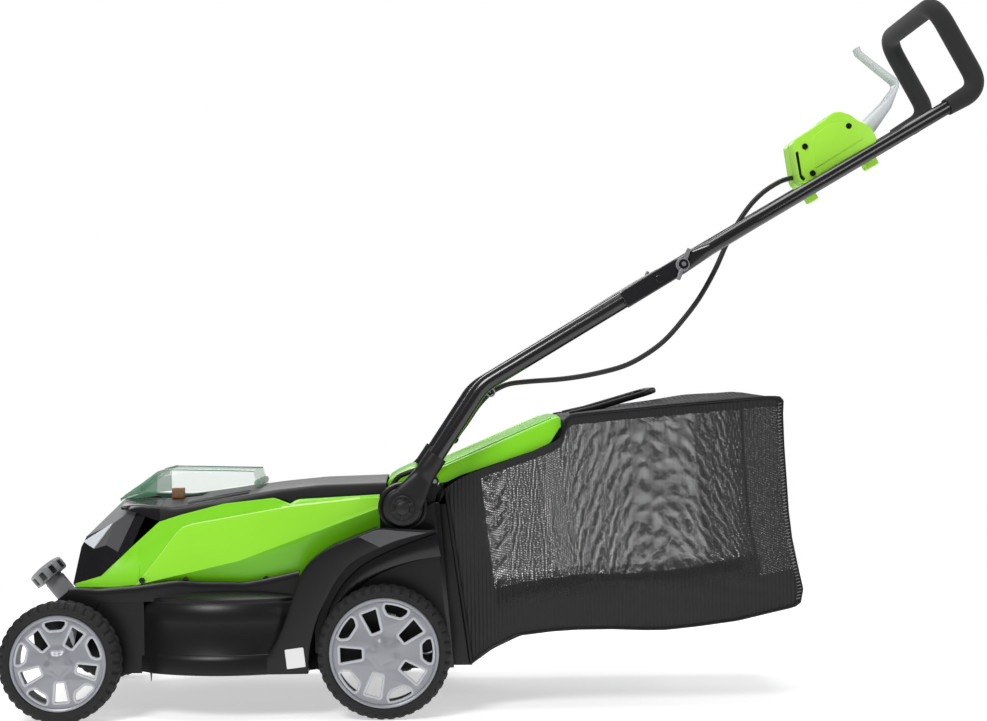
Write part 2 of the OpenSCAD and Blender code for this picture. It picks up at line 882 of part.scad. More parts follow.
deck_shell();
blade_drum();
fender(false);  // fender_left
fender(true);  // fender_right
nose_cover();
hood();
top_trim();
battery_lid();
battery_pack();
terminal_block();
safety_key();
controller();
motor_housing();
motor_shaft();
blade_adapter();
blade();
blade_bolt();
axle(front_x, front_tyre_r);  // front_axle
axle(rear_x, rear_tyre_r);  // rear_axle
link_rod();
wheel_nuts();
height_lever();
height_knob();
lift_spring();
rim(front_x, front_tyre_r, front_rim_r, 58, false);  // rim_front_left
rim(front_x, front_tyre_r, front_rim_r, 58, true);  // rim_front_right
rim(rear_x, rear_tyre_r, rear_rim_r, 38, false);  // rim_rear_left
rim(rear_x, rear_tyre_r, rear_rim_r, 38, true);  // rim_rear_right
tyre(front_x, front_tyre_r, front_rim_r, false);  // tyre_front_left
tyre(front_x, front_tyre_r, front_rim_r, true);  // tyre_front_right
tyre(rear_x, rear_tyre_r, rear_rim_r, false);  // tyre_rear_left
tyre(rear_x, rear_tyre_r, rear_rim_r, true);  // tyre_rear_right
pivot_boss(false);  // pivot_boss_left
pivot_boss(true);  // pivot_boss_right
pivot_knob(false);  // pivot_knob_left
pivot_knob(true);  // pivot_knob_right
handle_arm(false);  // handle_arm_left
handle_arm(true);  // handle_arm_right
lower_tube(false);  // lower_tube_left
lower_tube(true);  // lower_tube_right
upper_tube();
foam_grip();
handle_bolts();
wing_nut(false);  // wing_nut_left
wing_nut(true);  // wing_nut_right
switch_box_outer();
switch_box_inner();
switch_module();
start_button();
bail_lever();
box_screws();
cable_upper();
cable_lower();
cable_clips();
rear_door();
door_hinge_pin();
grass_bag();
bag_frame();
bag_handle();
deck_screws();
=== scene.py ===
"""Looks of the battery lawn mower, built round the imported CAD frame.

Shapes below are given in millimetres along the mower: X from front to back, Y towards its
right-hand side, Z up from the ground. place() turns them into the frame's metres.
"""

from math import atan2, copysign, cos, pi, radians, sin, tan

import bmesh
import bpy
from mathutils import Matrix, Vector


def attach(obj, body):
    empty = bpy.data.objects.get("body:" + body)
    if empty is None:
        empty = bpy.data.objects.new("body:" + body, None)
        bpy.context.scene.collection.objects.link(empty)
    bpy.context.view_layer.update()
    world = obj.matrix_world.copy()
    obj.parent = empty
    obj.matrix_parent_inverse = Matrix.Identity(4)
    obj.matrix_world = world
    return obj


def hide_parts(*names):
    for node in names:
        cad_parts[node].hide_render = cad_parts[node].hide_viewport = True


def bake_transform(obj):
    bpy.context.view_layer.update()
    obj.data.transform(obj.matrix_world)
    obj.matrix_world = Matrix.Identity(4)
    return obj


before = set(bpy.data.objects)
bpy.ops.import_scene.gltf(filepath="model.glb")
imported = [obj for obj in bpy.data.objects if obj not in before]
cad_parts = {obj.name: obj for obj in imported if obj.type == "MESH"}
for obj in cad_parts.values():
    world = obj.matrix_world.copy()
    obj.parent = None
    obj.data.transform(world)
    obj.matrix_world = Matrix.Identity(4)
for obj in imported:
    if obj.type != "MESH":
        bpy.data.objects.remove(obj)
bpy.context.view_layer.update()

DATUM_X = -4.45           # the part's own shift along X
FRONT_AXLE = (-604.7, 82) # this and the points below are (x, z) in the side view
REAR_AXLE = (-168.2, 90)
DRUM_X = -380
PIVOT = (-141, 283)       # the lower handle's hinge
ARM_ANGLE = 55.5          # degrees above level, from the pivot to the elbow
ELBOW = (-31, 446)
BOLT = (240, 605)         # the upper handle's hinge
TUBE_ANGLE = 30.4         # degrees above level, past the elbow
TUBE_Y = 168
CROSSWISE = (1, 0, 0)     # start direction for sections swept along Y


def place(p):
    return Vector(((p[0] - DATUM_X) / 1000, p[1] / 1000, p[2] / 1000))


# ---- materials

def feed(tree, socket, value):
    """Sets a socket's value, or links another node's output to it."""
    if isinstance(value, bpy.types.NodeSocket):
        tree.links.new(value, socket)
    else:
        socket.default_value = value


def node(tree, kind, **sockets):
    made = tree.nodes.new("ShaderNode" + kind)
    for name, value in sockets.items():
        feed(tree, made.inputs[name.replace("_", " ")], value)
    return made


def operate(tree, kind, operation, *values):
    """A Math or VectorMath node over values and outputs."""
    made = tree.nodes.new("ShaderNode" + kind)
    made.operation = operation
    for socket, value in zip(made.inputs, values):
        feed(tree, socket, value)
    return made.outputs


def ramp(tree, source, low, high, a, b):
    """Maps a value from low..high to a..b."""
    return node(tree, "MapRange", Value=source, From_Min=low, From_Max=high, To_Min=a,
        To_Max=b).outputs["Result"]


def mix_colour(tree, factor, a, b):
    made = tree.nodes.new("ShaderNodeMix")
    made.data_type = "RGBA"
    # the factor, and the two sockets that this node keeps for colours
    for index, value in ((0, factor), (6, a), (7, b)):
        feed(tree, made.inputs[index], value)
    return made.outputs[2]


def finish(name, colour, rough, metal=0.0, specular=0.5, grain=900, bump=0.15, mottle=0.08,
        wear_and_highlight=0.25, coat=0.0, sheen=0.0, alpha=1.0, edge_alpha=None, streak=None):
    """A moulded, painted or metal surface: mottled colour, uneven gloss, fine grain, edges
    lightened by wear and by a painted edge highlight.
    """
    made = bpy.data.materials.new(name)
    made.use_nodes = True
    tree = made.node_tree
    shader = tree.nodes["Principled BSDF"]
    for socket, value in (("Metallic", metal), ("Specular IOR Level", specular),
            ("Coat Weight", coat), ("Coat Roughness", 0.12), ("Sheen Weight", sheen),
            ("Alpha", alpha)):
        shader.inputs[socket].default_value = value
    if edge_alpha:
        # a clear sheet looks denser where it is seen edge on
        slope = node(tree, "LayerWeight", Blend=0.35).outputs["Facing"]
        feed(tree, shader.inputs["Alpha"], ramp(tree, slope, 0.1, 0.95, alpha, edge_alpha))
    where = node(tree, "TexCoord").outputs["Object"]
    if streak:
        where = node(tree, "Mapping", Vector=where, Scale=streak).outputs["Vector"]
    clouds = node(tree, "TexNoise", Vector=where, Scale=9.0, Detail=5.0).outputs["Fac"]
    fine = node(tree, "TexNoise", Vector=where, Scale=float(grain), Detail=3.0, Roughness=0.6)
    dark = tuple(c * (1 - mottle) for c in colour) + (1,)
    light = tuple(min(1.0, c * (1 + mottle)) for c in colour) + (1,)
    body = mix_colour(tree, clouds, dark, light)
    if wear_and_highlight:
        # edges are where a rounded normal leaves the face's own one; lightening them paints in wear
        # and an edge highlight
        rounded = node(tree, "Bevel", Radius=0.0012)
        rounded.samples = 3
        facing = operate(tree, "VectorMath", "DOT_PRODUCT", rounded.outputs["Normal"],
            node(tree, "NewGeometry").outputs["Normal"])["Value"]
        worn_and_lit = tuple(min(1.0, c + wear_and_highlight * (0.12 + c) * 0.6) for c in colour) + (1,)
        body = mix_colour(tree, ramp(tree, facing, 0.97, 0.86, 0.0, 1.0), body, worn_and_lit)
    feed(tree, shader.inputs["Base Color"], body)
    feed(tree, shader.inputs["Roughness"], ramp(tree, clouds, 0.3, 0.7, rough * 0.86,
        min(1.0, rough * 1.16)))
    relief = node(tree, "Bump", Height=fine.outputs["Fac"], Strength=bump, Distance=0.0004)
    feed(tree, shader.inputs["Normal"], relief.outputs["Normal"])
    return made


def lime(name, colour, rough=0.34, specular=0.4, wear_and_highlight=0.5, coat=0.15):
    return finish(name, colour, rough, specular=specular, bump=0.05, mottle=0.05, wear_and_highlight=wear_and_highlight,
        coat=coat)


def netting(name, colour, pitch, hole):
    """Knitted mesh: staggered real holes in upright columns, over the sheet's own lengths."""
    made = finish(name, colour, 0.55, specular=0.3, mottle=0.3, wear_and_highlight=0.0)
    tree = made.node_tree
    shader = tree.nodes["Principled BSDF"]
    lengths = node(tree, "UVMap").outputs["UV"]
    uneven = node(tree, "TexNoise", Vector=lengths, Scale=70.0, Detail=2.0).outputs["Color"]
    drift = operate(tree, "VectorMath", "MULTIPLY_ADD", uneven, (0.0012, 0.0034, 0), lengths)
    split = node(tree, "SeparateXYZ", Vector=drift["Vector"])
    waves = []
    for axis, step in (("X", pitch), ("Y", pitch * 0.62)):
        turns = operate(tree, "Math", "MULTIPLY", split.outputs[axis], 2 * pi / step)[0]
        waves.append(operate(tree, "Math", "SINE", turns)[0])
    # their product is above the threshold in a chequer of round spots
    both = operate(tree, "Math", "MULTIPLY", *waves)[0]
    # some stitches are looser than others
    loose = node(tree, "TexNoise", Vector=lengths, Scale=400.0, Detail=2.0).outputs["Fac"]
    gap = operate(tree, "Math", "ADD", both, ramp(tree, loose, 0.25, 0.75, -0.8, 0.8))[0]
    feed(tree, shader.inputs["Alpha"], ramp(tree, gap, hole - 0.4, hole + 0.4, 1.0, 0.0))
    # columns of stitches stand up a little and catch the light
    relief = node(tree, "Bump", Height=waves[0], Strength=0.8, Distance=0.0006)
    feed(tree, shader.inputs["Normal"], relief.outputs["Normal"])
    return made


BLACK = finish("black_plastic", (0.0065, 0.0065, 0.007), 0.34, specular=0.30, wear_and_highlight=0.12)
GLOSS_BLACK = finish("gloss_black", (0.005, 0.005, 0.006), 0.20, specular=0.42, bump=0.06,
    wear_and_highlight=0.12)
CHARCOAL = finish("charcoal_plastic", (0.013, 0.0125, 0.013), 0.38, specular=0.30, grain=700,
    wear_and_highlight=0.2)
GREY = finish("grey_plastic", (0.20, 0.20, 0.21), 0.35, specular=0.4, bump=0.1, wear_and_highlight=0.4)
# dark grey used only for painted light: the shaded side facet of the nose and the reflection on the
# fender
DARK_GREY_PAINTED = finish("dark_grey_painted_shade_and_reflection", (0.075, 0.075, 0.078), 0.36, specular=0.4, bump=0.1)
PALE_GREY = finish("pale_grey_plastic", (0.28, 0.285, 0.29), 0.33, bump=0.08, wear_and_highlight=0.4)
WHITE_GREY = finish("white_grey_plastic", (0.62, 0.65, 0.67), 0.30, bump=0.08, wear_and_highlight=0.0)
LIME = lime("lime_plastic", (0.225, 0.68, 0.012), rough=0.30, coat=0.25)
# the hood's own lime, painted lighter where the raised panel faces the light
LIME_PANEL_PAINTED_LIGHT = lime("lime_panel_painted_light", (0.30, 0.76, 0.030))
# the hood's own lime, painted darker as shade below the crease
LIME_PAINTED_SHADE = lime("lime_painted_shade", (0.15, 0.50, 0.006), specular=0.35, wear_and_highlight=0.25)
# the same lime painted brighter for the switch box, for the light that falls on it
LIME_LIT = lime("lime_box_painted_light", (0.42, 0.88, 0.060), wear_and_highlight=0.4, coat=0.2)
# pale lime band along the top of the hood's raised panel: a painted highlight
LIME_PAINTED_HIGHLIGHT = finish("lime_painted_highlight", (0.62, 0.86, 0.30), 0.3, bump=0.03, mottle=0.04, wear_and_highlight=0.0)
RIM = finish("rim_plastic", (0.27, 0.275, 0.30), 0.34, metal=0.35, bump=0.06, mottle=0.08, wear_and_highlight=0.6)
# the rim's raised beads painted pale, as highlights
RIM_BEAD_PAINTED_HIGHLIGHT = finish("rim_bead_painted_highlight", (0.46, 0.47, 0.50), 0.30, metal=0.2, bump=0.05, wear_and_highlight=0.0)
RUBBER = finish("tyre_rubber", (0.014, 0.014, 0.014), 0.70, specular=0.3, bump=0.5, grain=500,
    wear_and_highlight=0.5)
FOAM = finish("foam", (0.030, 0.030, 0.031), 0.93, specular=0.2, bump=0.9, grain=650, sheen=0.1,
    wear_and_highlight=0.0)
PAINT = finish("tube_paint", (0.007, 0.007, 0.008), 0.20, specular=0.5, bump=0.03, grain=1200,
    coat=0.3, wear_and_highlight=0.0)
STEEL = finish("steel_plated", (0.52, 0.53, 0.55), 0.3, metal=1.0, streak=(1, 30, 1), bump=0.1)
BLADE = finish("blade_steel", (0.34, 0.35, 0.37), 0.4, metal=1.0, streak=(1, 40, 1), bump=0.2)
CAST = finish("cast_aluminium", (0.5, 0.5, 0.52), 0.5, metal=1.0, bump=0.6, grain=300)
COPPER = finish("key_plastic", (0.33, 0.10, 0.035), 0.4, bump=0.1)
BOARD = finish("board_green", (0.02, 0.12, 0.04), 0.4, bump=0.3, grain=250, mottle=0.3)
CABLE = finish("cable_rubber", (0.016, 0.016, 0.017), 0.5, specular=0.35, bump=0.15, wear_and_highlight=0.0)
CLEAR = finish("lid_clear", (0.30, 0.70, 0.42), 0.06, specular=0.5, bump=0.0, mottle=0.12, wear_and_highlight=0.0,
    coat=0.4, alpha=0.06, edge_alpha=0.34)
CLEAR_FRONT = finish("lid_clear_front", (0.12, 0.36, 0.20), 0.06, specular=0.5, bump=0.0,
    mottle=0.12, wear_and_highlight=0.0, coat=0.4, alpha=0.42, edge_alpha=0.7)
LID_EDGE = finish("lid_edge", (0.05, 0.20, 0.10), 0.15, bump=0.0, wear_and_highlight=0.0, alpha=0.8)
NET = netting("mesh_fabric", (0.020, 0.020, 0.021), 0.0054, 0.24)
NET_CLOSE = netting("mesh_fabric_close", (0.020, 0.020, 0.021), 0.0054, 0.62)
NET_DENSE = netting("mesh_fabric_dense", (0.016, 0.016, 0.017), 0.0054, 1.7)
NET_TOP = netting("mesh_fabric_top", (0.036, 0.036, 0.038), 0.0064, 1.7)
LABEL = finish("label", (0.75, 0.75, 0.74), 0.5, bump=0.05, wear_and_highlight=0.0)


def pale_floor():
    """White table top that glows a little, like a lit product table."""
    made = finish("studio_floor", (0.88, 0.88, 0.88), 0.9, specular=0.1, mottle=0.01, wear_and_highlight=0.0)
    shader = made.node_tree.nodes["Principled BSDF"]
    shader.inputs["Emission Color"].default_value = (1, 1, 1, 1)
    shader.inputs["Emission Strength"].default_value = 0.52
    return made


# ---- mesh shapes

def join(*shapes):
    points, faces = [], []
    for more_points, more_faces in shapes:
        base = len(points)
        points += more_points
        faces += [tuple(i + base for i in f) for f in more_faces]
    return points, faces


def mirrored(shape):
    points, faces = shape
    return [(x, -y, z) for x, y, z in points], [tuple(reversed(f)) for f in faces]


def grid(rows, closed_rows=False, closed_ends=False):
    """Quads over equally long rows of points. closed_rows joins each row's end to its start."""
    n = len(rows[0])
    points = [tuple(p) for row in rows for p in row]
    faces = []
    for i in range(len(rows) - 1):
        for k in range(n if closed_rows else n - 1):
            m = (k + 1) % n
            faces.append((i * n + k, i * n + m, (i + 1) * n + m, (i + 1) * n + k))
    if closed_ends:
        faces.append(tuple(reversed(range(n))))
        faces.append(tuple((len(rows) - 1) * n + k for k in range(n)))
    return points, faces


def prism(outline, y0, y1, r=0):
    """A side outline of (x, z) points as a solid from y0 to y1, its corners rounded by r."""
    if r:
        outline = rounded_outline(outline, r)
    return grid([[(x, y0, z) for x, z in outline], [(x, y1, z) for x, z in outline]],
        closed_rows=True, closed_ends=True)


def block(low, high):
    outline = [(low[0], low[2]), (high[0], low[2]), (high[0], high[2]), (low[0], high[2])]
    return prism(outline, low[1], high[1])


def solid(rows):
    return grid(rows, closed_rows=True, closed_ends=True)


def circle(r, sides=20):
    return [(r * cos(2 * pi * k / sides), r * sin(2 * pi * k / sides)) for k in range(sides)]


def spun(profile, sides, x=0):
    """Rings of (radius, z) points about an upright axis at x."""
    return [[(x + u, v, z) for u, v in circle(r, sides)] for r, z in profile]


def turned(at, profile, sides=56):
    """Profile of (radius, y) points turned about the Y axis through at = (x, z)."""
    return grid([[(at[0] + u, y, at[1] + v) for u, v in circle(r, sides)] for r, y in profile],
        closed_rows=True, closed_ends=True)


def rotated(points, angle):
    """Points turned about Z by an angle in degrees."""
    c, s = cos(radians(angle)), sin(radians(angle))
    return [(c * u - s * v, s * u + c * v, *rest) for u, v, *rest in points]


def clamped(value):
    return max(0.0, min(1.0, value))


def at_depth(line, y=0):
    """A side line of (x, z) points as 3-D points at one y."""
    return [(x, y, z) for x, z in line]


def arc(start, corner, end, steps):
    return [start * (1 - t) ** 2 + corner * 2 * t * (1 - t) + end * t ** 2
            for t in (k / steps for k in range(steps + 1))]


def rounded_path(corners, radius, steps=8):
    """A 3-D path with an arc of about this radius at each inner corner."""
    corners = [Vector(c) for c in corners]
    path = [corners[0]]
    for before, corner, after in zip(corners, corners[1:], corners[2:]):
        a, b = (before - corner).normalized(), (after - corner).normalized()
        half = a.angle(b) / 2
        reach = min(radius / tan(half), (before - corner).length * 0.48,
            (after - corner).length * 0.48)
        path += arc(corner + a * reach, corner, corner + b * reach, steps)
    return path + [corners[-1]]


def swept(path, section, side=(0, 1, 0)):
    """Sweeps section(t) along a path; t runs from 0 to 1 and gives (across, up) offsets."""
    path = [Vector(p) for p in path]
    across = Vector(side)
    total = sum((b - a).length for a, b in zip(path, path[1:]))
    rows, done = [], 0.0
    for i, p in enumerate(path):
        ahead = (path[min(i + 1, len(path) - 1)] - path[max(i - 1, 0)]).normalized()
        across = (across - ahead * across.dot(ahead)).normalized()
        up = across.cross(ahead)
        if i:
            done += (p - path[i - 1]).length
        rows.append([p + across * a + up * b for a, b in section(done / total)])
    return solid(rows)


def tube(path, r, sides=20, side=(0, 1, 0)):
    return swept(path, lambda t: circle(r, sides), side)


def oval(a, b, power=2.6, sides=24):
    """A squarish oval of half-sizes a and b."""
    return [(a * copysign(abs(c) ** (2 / power), c), b * copysign(abs(s) ** (2 / power), s)) for c,
        s in circle(1, sides)]


def along_line(points, x):
    """Height of a broken line of (x, z) points at x."""
    for (x0, z0), (x1, z1) in zip(points, points[1:]):
        if x <= x1:
            return z0 + (z1 - z0) * max(0.0, x - x0) / (x1 - x0)
    return points[-1][1]


def resampled(points, n):
    """n points evenly spaced along a broken line."""
    points = [Vector(p) for p in points]
    lengths = [0.0]
    for a, b in zip(points, points[1:]):
        lengths.append(lengths[-1] + (b - a).length)
    made, i = [], 0
    for k in range(n):
        want = lengths[-1] * k / (n - 1)
        while i < len(points) - 2 and lengths[i + 1] < want:
            i += 1
        t = (want - lengths[i]) / (lengths[i + 1] - lengths[i])
        made.append(points[i].lerp(points[i + 1], min(1.0, t)))
    return made


def smooth_line(points, rounds=2):
    """Corner cutting that keeps both ends."""
    for _ in range(rounds):
        made = [points[0]]
        for a, b in zip(points, points[1:]):
            made.append(tuple(0.75 * p + 0.25 * q for p, q in zip(a, b)))
            made.append(tuple(0.25 * p + 0.75 * q for p, q in zip(a, b)))
        points = made + [points[-1]]
    return points


def rounded_outline(points, r, steps=5):
    """A closed outline with rounded corners."""
    made, n = [], len(points)
    for i in range(n):
        corner = Vector(points[i])
        a, b = Vector(points[i - 1]) - corner, Vector(points[(i + 1) % n]) - corner
        reach = min(r, a.length * 0.45, b.length * 0.45)
        made += arc(corner + a.normalized() * reach, corner, corner + b.normalized() * reach, steps)
    return [tuple(p) for p in made]


# ---- pieces

def put(name, data):
    """A new object in the scene."""
    made = bpy.data.objects.new(name, data)
    bpy.context.scene.collection.objects.link(made)
    return made


def outwards(mesh):
    shape = bmesh.new()
    shape.from_mesh(mesh)
    bmesh.ops.remove_doubles(shape, verts=shape.verts, dist=0.00002)
    bmesh.ops.recalc_face_normals(shape, faces=shape.faces)
    shape.to_mesh(mesh)
    shape.free()


def settle(made, angle):
    """Applies the modifiers, and marks edges sharper than the angle."""
    graph = bpy.context.evaluated_depsgraph_get()
    mesh = bpy.data.meshes.new_from_object(made.evaluated_get(graph))
    made.modifiers.clear()
    made.data = mesh
    for face in mesh.polygons:
        face.use_smooth = True
    mesh.set_sharp_from_angle(angle=radians(angle))


def ease(made, width, segments, angle):
    """Rounds the edges sharper than the angle."""
    edge = made.modifiers.new("bevel", "BEVEL")
    edge.width = width / 1000
    edge.segments = segments
    edge.limit_method = "ANGLE"
    edge.angle_limit = radians(angle)
    return edge


def piece(name, shape, material, body, stands_for=(), bevel=0.0, shell=0.0, angle=35, slot=None,
        uvs=None, segments=3, more=(), kinds=()):
    """One piece from a shape in millimetres, riding on a CAD body.

    more holds further materials, and kinds says which one each face has. slot is not used.
    """
    mesh = bpy.data.meshes.new(name)
    mesh.from_pydata([place(p) for p in shape[0]], [], shape[1])
    if uvs:
        layer = mesh.uv_layers.new(name="lengths")
        for loop in mesh.loops:
            layer.data[loop.index].uv = uvs[loop.vertex_index]
    made = put(name, mesh)
    for each in (material, *more):
        mesh.materials.append(each)
    for face, kind in zip(mesh.polygons, kinds):
        face.material_index = kind
    outwards(mesh)
    if shell:
        thick = made.modifiers.new("shell", "SOLIDIFY")
        thick.thickness = shell / 1000
        thick.offset = -1
    if bevel:
        ease(made, bevel, segments, 28)
    settle(made, angle)
    if body:
        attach(made, body)
    if stands_for:
        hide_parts(*stands_for)
    return made


def pair(name, shape, material, body, stands_for=(), **how):
    """The same piece on the left and, mirrored, on the right. {} in body and node is the side."""
    for side, form in (("left", shape), ("right", mirrored(shape))):
        nodes = [n.format(side) for n in stands_for]
        piece(name + "_" + side, form, material, body.format(side), nodes, **how)


def dress(name, material, bevel):
    """A CAD node that stays in view: its own material, and eased edges."""
    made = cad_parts[name]
    made.data.materials.clear()
    made.data.materials.append(material)
    weld = made.modifiers.new("weld", "WELD")
    weld.merge_threshold = 0.00001
    if bevel:
        ease(made, bevel, 2, 32).harden_normals = True


# ---- hood, nose and trim

HOOD_TOP = [(-593, 181), (-558, 191), (-516, 230), (-478, 264), (-449, 273), (-388, 288),
    (-318, 295), (-293, 285.5), (-289, 292.5), (-173, 298)]
HOOD_CREASE = [(-593, 178), (-507, 180), (-366, 211), (-173, 281)]
PANEL_TOP = [(-593, 178), (-507, 180), (-455, 247), (-446, 256), (-432, 261), (-293, 284),
    (-173, 296)]
HOOD_FOOT = [(-593, 177), (-470, 177), (-284, 177), (-264, 205), (-205, 234), (-173, 252)]


def hood_side():
    xs = [-593 + 2.5 * i for i in range(66)] + [-428 + 6 * i for i in range(43)]
    xs = [x for x in xs if x < -173] + [-173]
    rows = []
    for x in xs:
        foot = along_line(HOOD_FOOT, x)
        top = along_line(HOOD_TOP, x)
        crease = max(foot, min(top, along_line(HOOD_CREASE, x)))
        panel = max(crease, min(top - 3, along_line(PANEL_TOP, x)))
        front = 142 - 11 * (max(0.0, -520 - x) / 73) ** 2
        lean = 8 * clamped((x + 530) / 60)
        row = []
        for k in range(6):
            t = k / 5
            row.append((x, -(front - lean * (1 - t)), foot + (crease - foot) * t))
        for k in range(1, 8):
            t = k / 7
            z = crease + (panel - crease) * t
            row.append((x, -(front - 0.5 - 0.13 * (z - crease)), z))
        inner = front - 0.5 - 0.13 * (panel - crease)
        step = 2.6 if panel > crease + 4 else 0.0
        for k in range(6):
            t = k / 5
            z = panel + 1.2 + (top - panel - 1.2) * t
            row.append((x, -max(130.5, inner - step - 0.30 * (z - panel) * (0.6 + 0.4 * t)), z))
        edge = -row[-1][1]
        row.append((x, -(edge - 1.5), top + 0.9))
        row.append((x, -(edge - 5), top + 0.6))
        rows.append(row)
    return grid(rows)


def middle(shape, face):
    """Middle of one face of a shape."""
    return [sum(shape[0][i][axis] for i in face) / len(face) for axis in range(3)]


def opened(shape, gone):
    """The shape without the faces whose middle is gone(x, y, z)."""
    return shape[0], [face for face in shape[1] if not gone(*middle(shape, face))]


hood = hood_side()
hood_kinds = []
for face in hood[1]:
    x, y, z = middle(hood, face)
    # kinds: 1 the raised panel painted lighter, 2 a thin painted highlight along its top, 3 painted
    # shade below the crease
    raised = along_line(HOOD_CREASE, x) < z < along_line(PANEL_TOP, x) + 0.2
    rim = 0.2 < z - along_line(PANEL_TOP, x) < 2.2 and -507 < x < -200
    below = z < along_line(HOOD_CREASE, x) and x > -507
    hood_kinds.append(1 if raised else 2 if rim else 3 if below else 0)
pair("hood", hood, LIME, "chassis", ["hood"], shell=2.4, angle=24, more=(LIME_PANEL_PAINTED_LIGHT, LIME_PAINTED_HIGHLIGHT,
    LIME_PAINTED_SHADE), kinds=hood_kinds)
pair("hood_notch", tube([(-371, -138.6, 210), (-367, -138.4, 212.6), (-363, -138.2, 213.4)], 1.3,
    8), BLACK, "chassis")

NOSE = {
    "a": (-602, -108, 178), "b": (-589.5, -110, 230), "c": (-583, -104, 244.5),
    "d": (-532, -88, 294.5), "w1": (-583.5, -120, 238), "w2": (-568, -128.5, 229),
    "w3": (-542, -122, 263.5), "d2": (-506, -112, 289), "e1": (-551, -129, 234),
    "e2": (-535, -129, 224.5), "f1": (-594, -127, 182), "f2": (-559, -130, 191),
    "f3": (-517, -129.5, 231), "f4": (-496, -124, 276), "g": (-594, -127, 177),
    "h": (-506, -48, 289), "k": (-524, -48, 293),
}


def facets(*names):
    """Faces over the nose's named corners. A capital last letter means the right-hand side."""
    corners = sorted({c for n in names for c in n.split()})
    points = []
    for c in corners:
        x, y, z = NOSE[c.lower()]
        points.append((x, -y if c.isupper() else y, z))
    return points, [tuple(corners.index(c) for c in n.split()) for n in names]


nose_dark = facets("g f1 a", "a f1 f2 e1 w2 w1 b", "e1 f2 f3 e2", "e2 f3 f4 d2", "b w1 c",
    "c w1 w3")
piece("nose_cover", join(nose_dark, mirrored(nose_dark), facets("a b B A", "b c C B", "d d2 h k",
    "D D2 H K", "d k K D")), GLOSS_BLACK, "chassis", ["nose_cover"], shell=2.2, angle=12)
# the nose's grey facets take greys from white to dark by how each faces the light: painted
# highlight and shade
pair("nose_facet_top_painted_light", facets("c w3 d2 d"), PALE_GREY, "chassis", shell=2.2, angle=12)
pair("nose_facet_painted_highlight", facets("w1 w2 w3"), WHITE_GREY, "chassis", shell=2.2, angle=12)
pair("nose_facet_side_painted_shade", facets("w2 e1 e2 d2 w3"), DARK_GREY_PAINTED, "chassis", shell=2.2, angle=12)
piece("nose_top", facets("c d D C"), GREY, "chassis", shell=2.2, angle=12)

TRIM_TOP = [(-530, 295), (-458, 292.5), (-388, 300), (-315, 308), (-257, 313), (-164, 315)]
TRIM_FOOT = [(-530, 286), (-490, 270), (-478, 265), (-449, 274), (-388, 289), (-318, 296),
    (-300, 292), (-293, 285), (-289, 293.5), (-164, 299.5)]
TRIM_EDGE = [(-530, 287), (-509, 289.5), (-458, 284.6), (-315, 307.5), (-257, 313), (-164, 315)]


def trim_shape():
    """Cross-sections from the left edge to the right edge, open over the battery well."""
    xs = sorted({-530, -520, -432, -293, -289, -164} | {-525 + 8 * i for i in range(46)})
    rows = []
    for x in xs:
        foot, top = along_line(TRIM_FOOT, x), along_line(TRIM_TOP, x)
        crown = 2.5 * min(1.0, (x + 430) / 100) if x > -430 else 0.0
        edge = max(foot + 1, along_line(TRIM_EDGE, x))
        side = [(-126, foot), (-125.4, max(foot + 0.5, edge - 5)), (-124, edge - 2),
            (-121, edge - 0.4), (-116, edge), (-80, top + 0.6 * crown), (-45, top + crown),
            (0, top + crown)]
        rows.append([(x, y, z) for y, z in side] + [(x, -y, z) for y, z in reversed(side[:-1])])
    return opened(grid(rows), lambda x, y, z: -522 < x < -428 and abs(y) < 45)


trim = trim_shape()
piece("top_trim", trim, CHARCOAL, "chassis", ["top_trim"], shell=3.0, angle=30, more=(GLOSS_BLACK,),
    kinds=[int(middle(trim, face)[0] < -474) for face in trim[1]])
for i in range(4):
    y = -88 - 7 * i
    pair("trim_rib_%d" % i,
        tube([(x, y, along_line(TRIM_EDGE, x) + 0.9 + 0.08 * (116 + y)) for x in range(-440, -355,
        14)], 1.3, 8), CHARCOAL, "chassis")

CAP = [(-163, 300), (-162, 316), (-150, 324), (-129, 333.5), (-121, 333), (-119, 318), (-121, 301)]
piece("rear_cap", prism(CAP, -103, 103, 4), LIME, "chassis", bevel=2.0, slot="lime_plastic")

# ---- battery bay

LID = [(-541, 295, 62, 2), (-536, 299, 62, 5), (-512, 315, 60, 20), (-490, 331.5, 58, 34),
    (-479, 335, 57, 40), (-430, 333.5, 58, 36), (-380, 332, 58, 27), (-352, 331, 60, 22)]


def lid_section(x, top, half, rise):
    foot = top - rise
    side = [(-70.5, foot), (-half - 9, top - 4), (-half - 7, top - 1.2), (-half - 3, top)]
    return [(x, y, z) for y, z in side + [(0, top + 0.8)]] + [
        (x, -y, z) for y, z in reversed(side)]


lid_rows = [lid_section(*s) for s in LID]
lid_back = [(-344, y, max(305, z - 26)) for x, y, z in lid_rows[-1]]
piece("battery_lid", grid(lid_rows[3:] + [lid_back]), CLEAR, "lid", ["battery_lid"], shell=2.0,
    angle=30)
piece("lid_front", grid(lid_rows[:4]), CLEAR_FRONT, "lid", shell=2.0, angle=30)
for side, sign in (("left", -1), ("right", 1)):
    piece("lid_edge_" + side, tube([(x, sign * (half + 5), top - 0.8) for x, top, half,
        rise in LID[1:]], 0.9, 8), LID_EDGE, "lid")
piece("lid_edge_front", tube([(-541, y, 294.5) for y in range(-66, 67, 12)], 0.9, 8, CROSSWISE),
    LID_EDGE, "lid")
piece("lid_edge_ridge", tube([(-479, y, 335.2) for y in range(-55, 56, 10)], 0.8, 8, CROSSWISE),
    LID_EDGE, "lid")
piece("lid_barrel", turned((-348, 313), [(0.1, -60), (4.2, -60), (5, -59.2), (5, 59.2), (4.2, 60),
    (0.1, 60)], 24), CLEAR_FRONT, "lid")
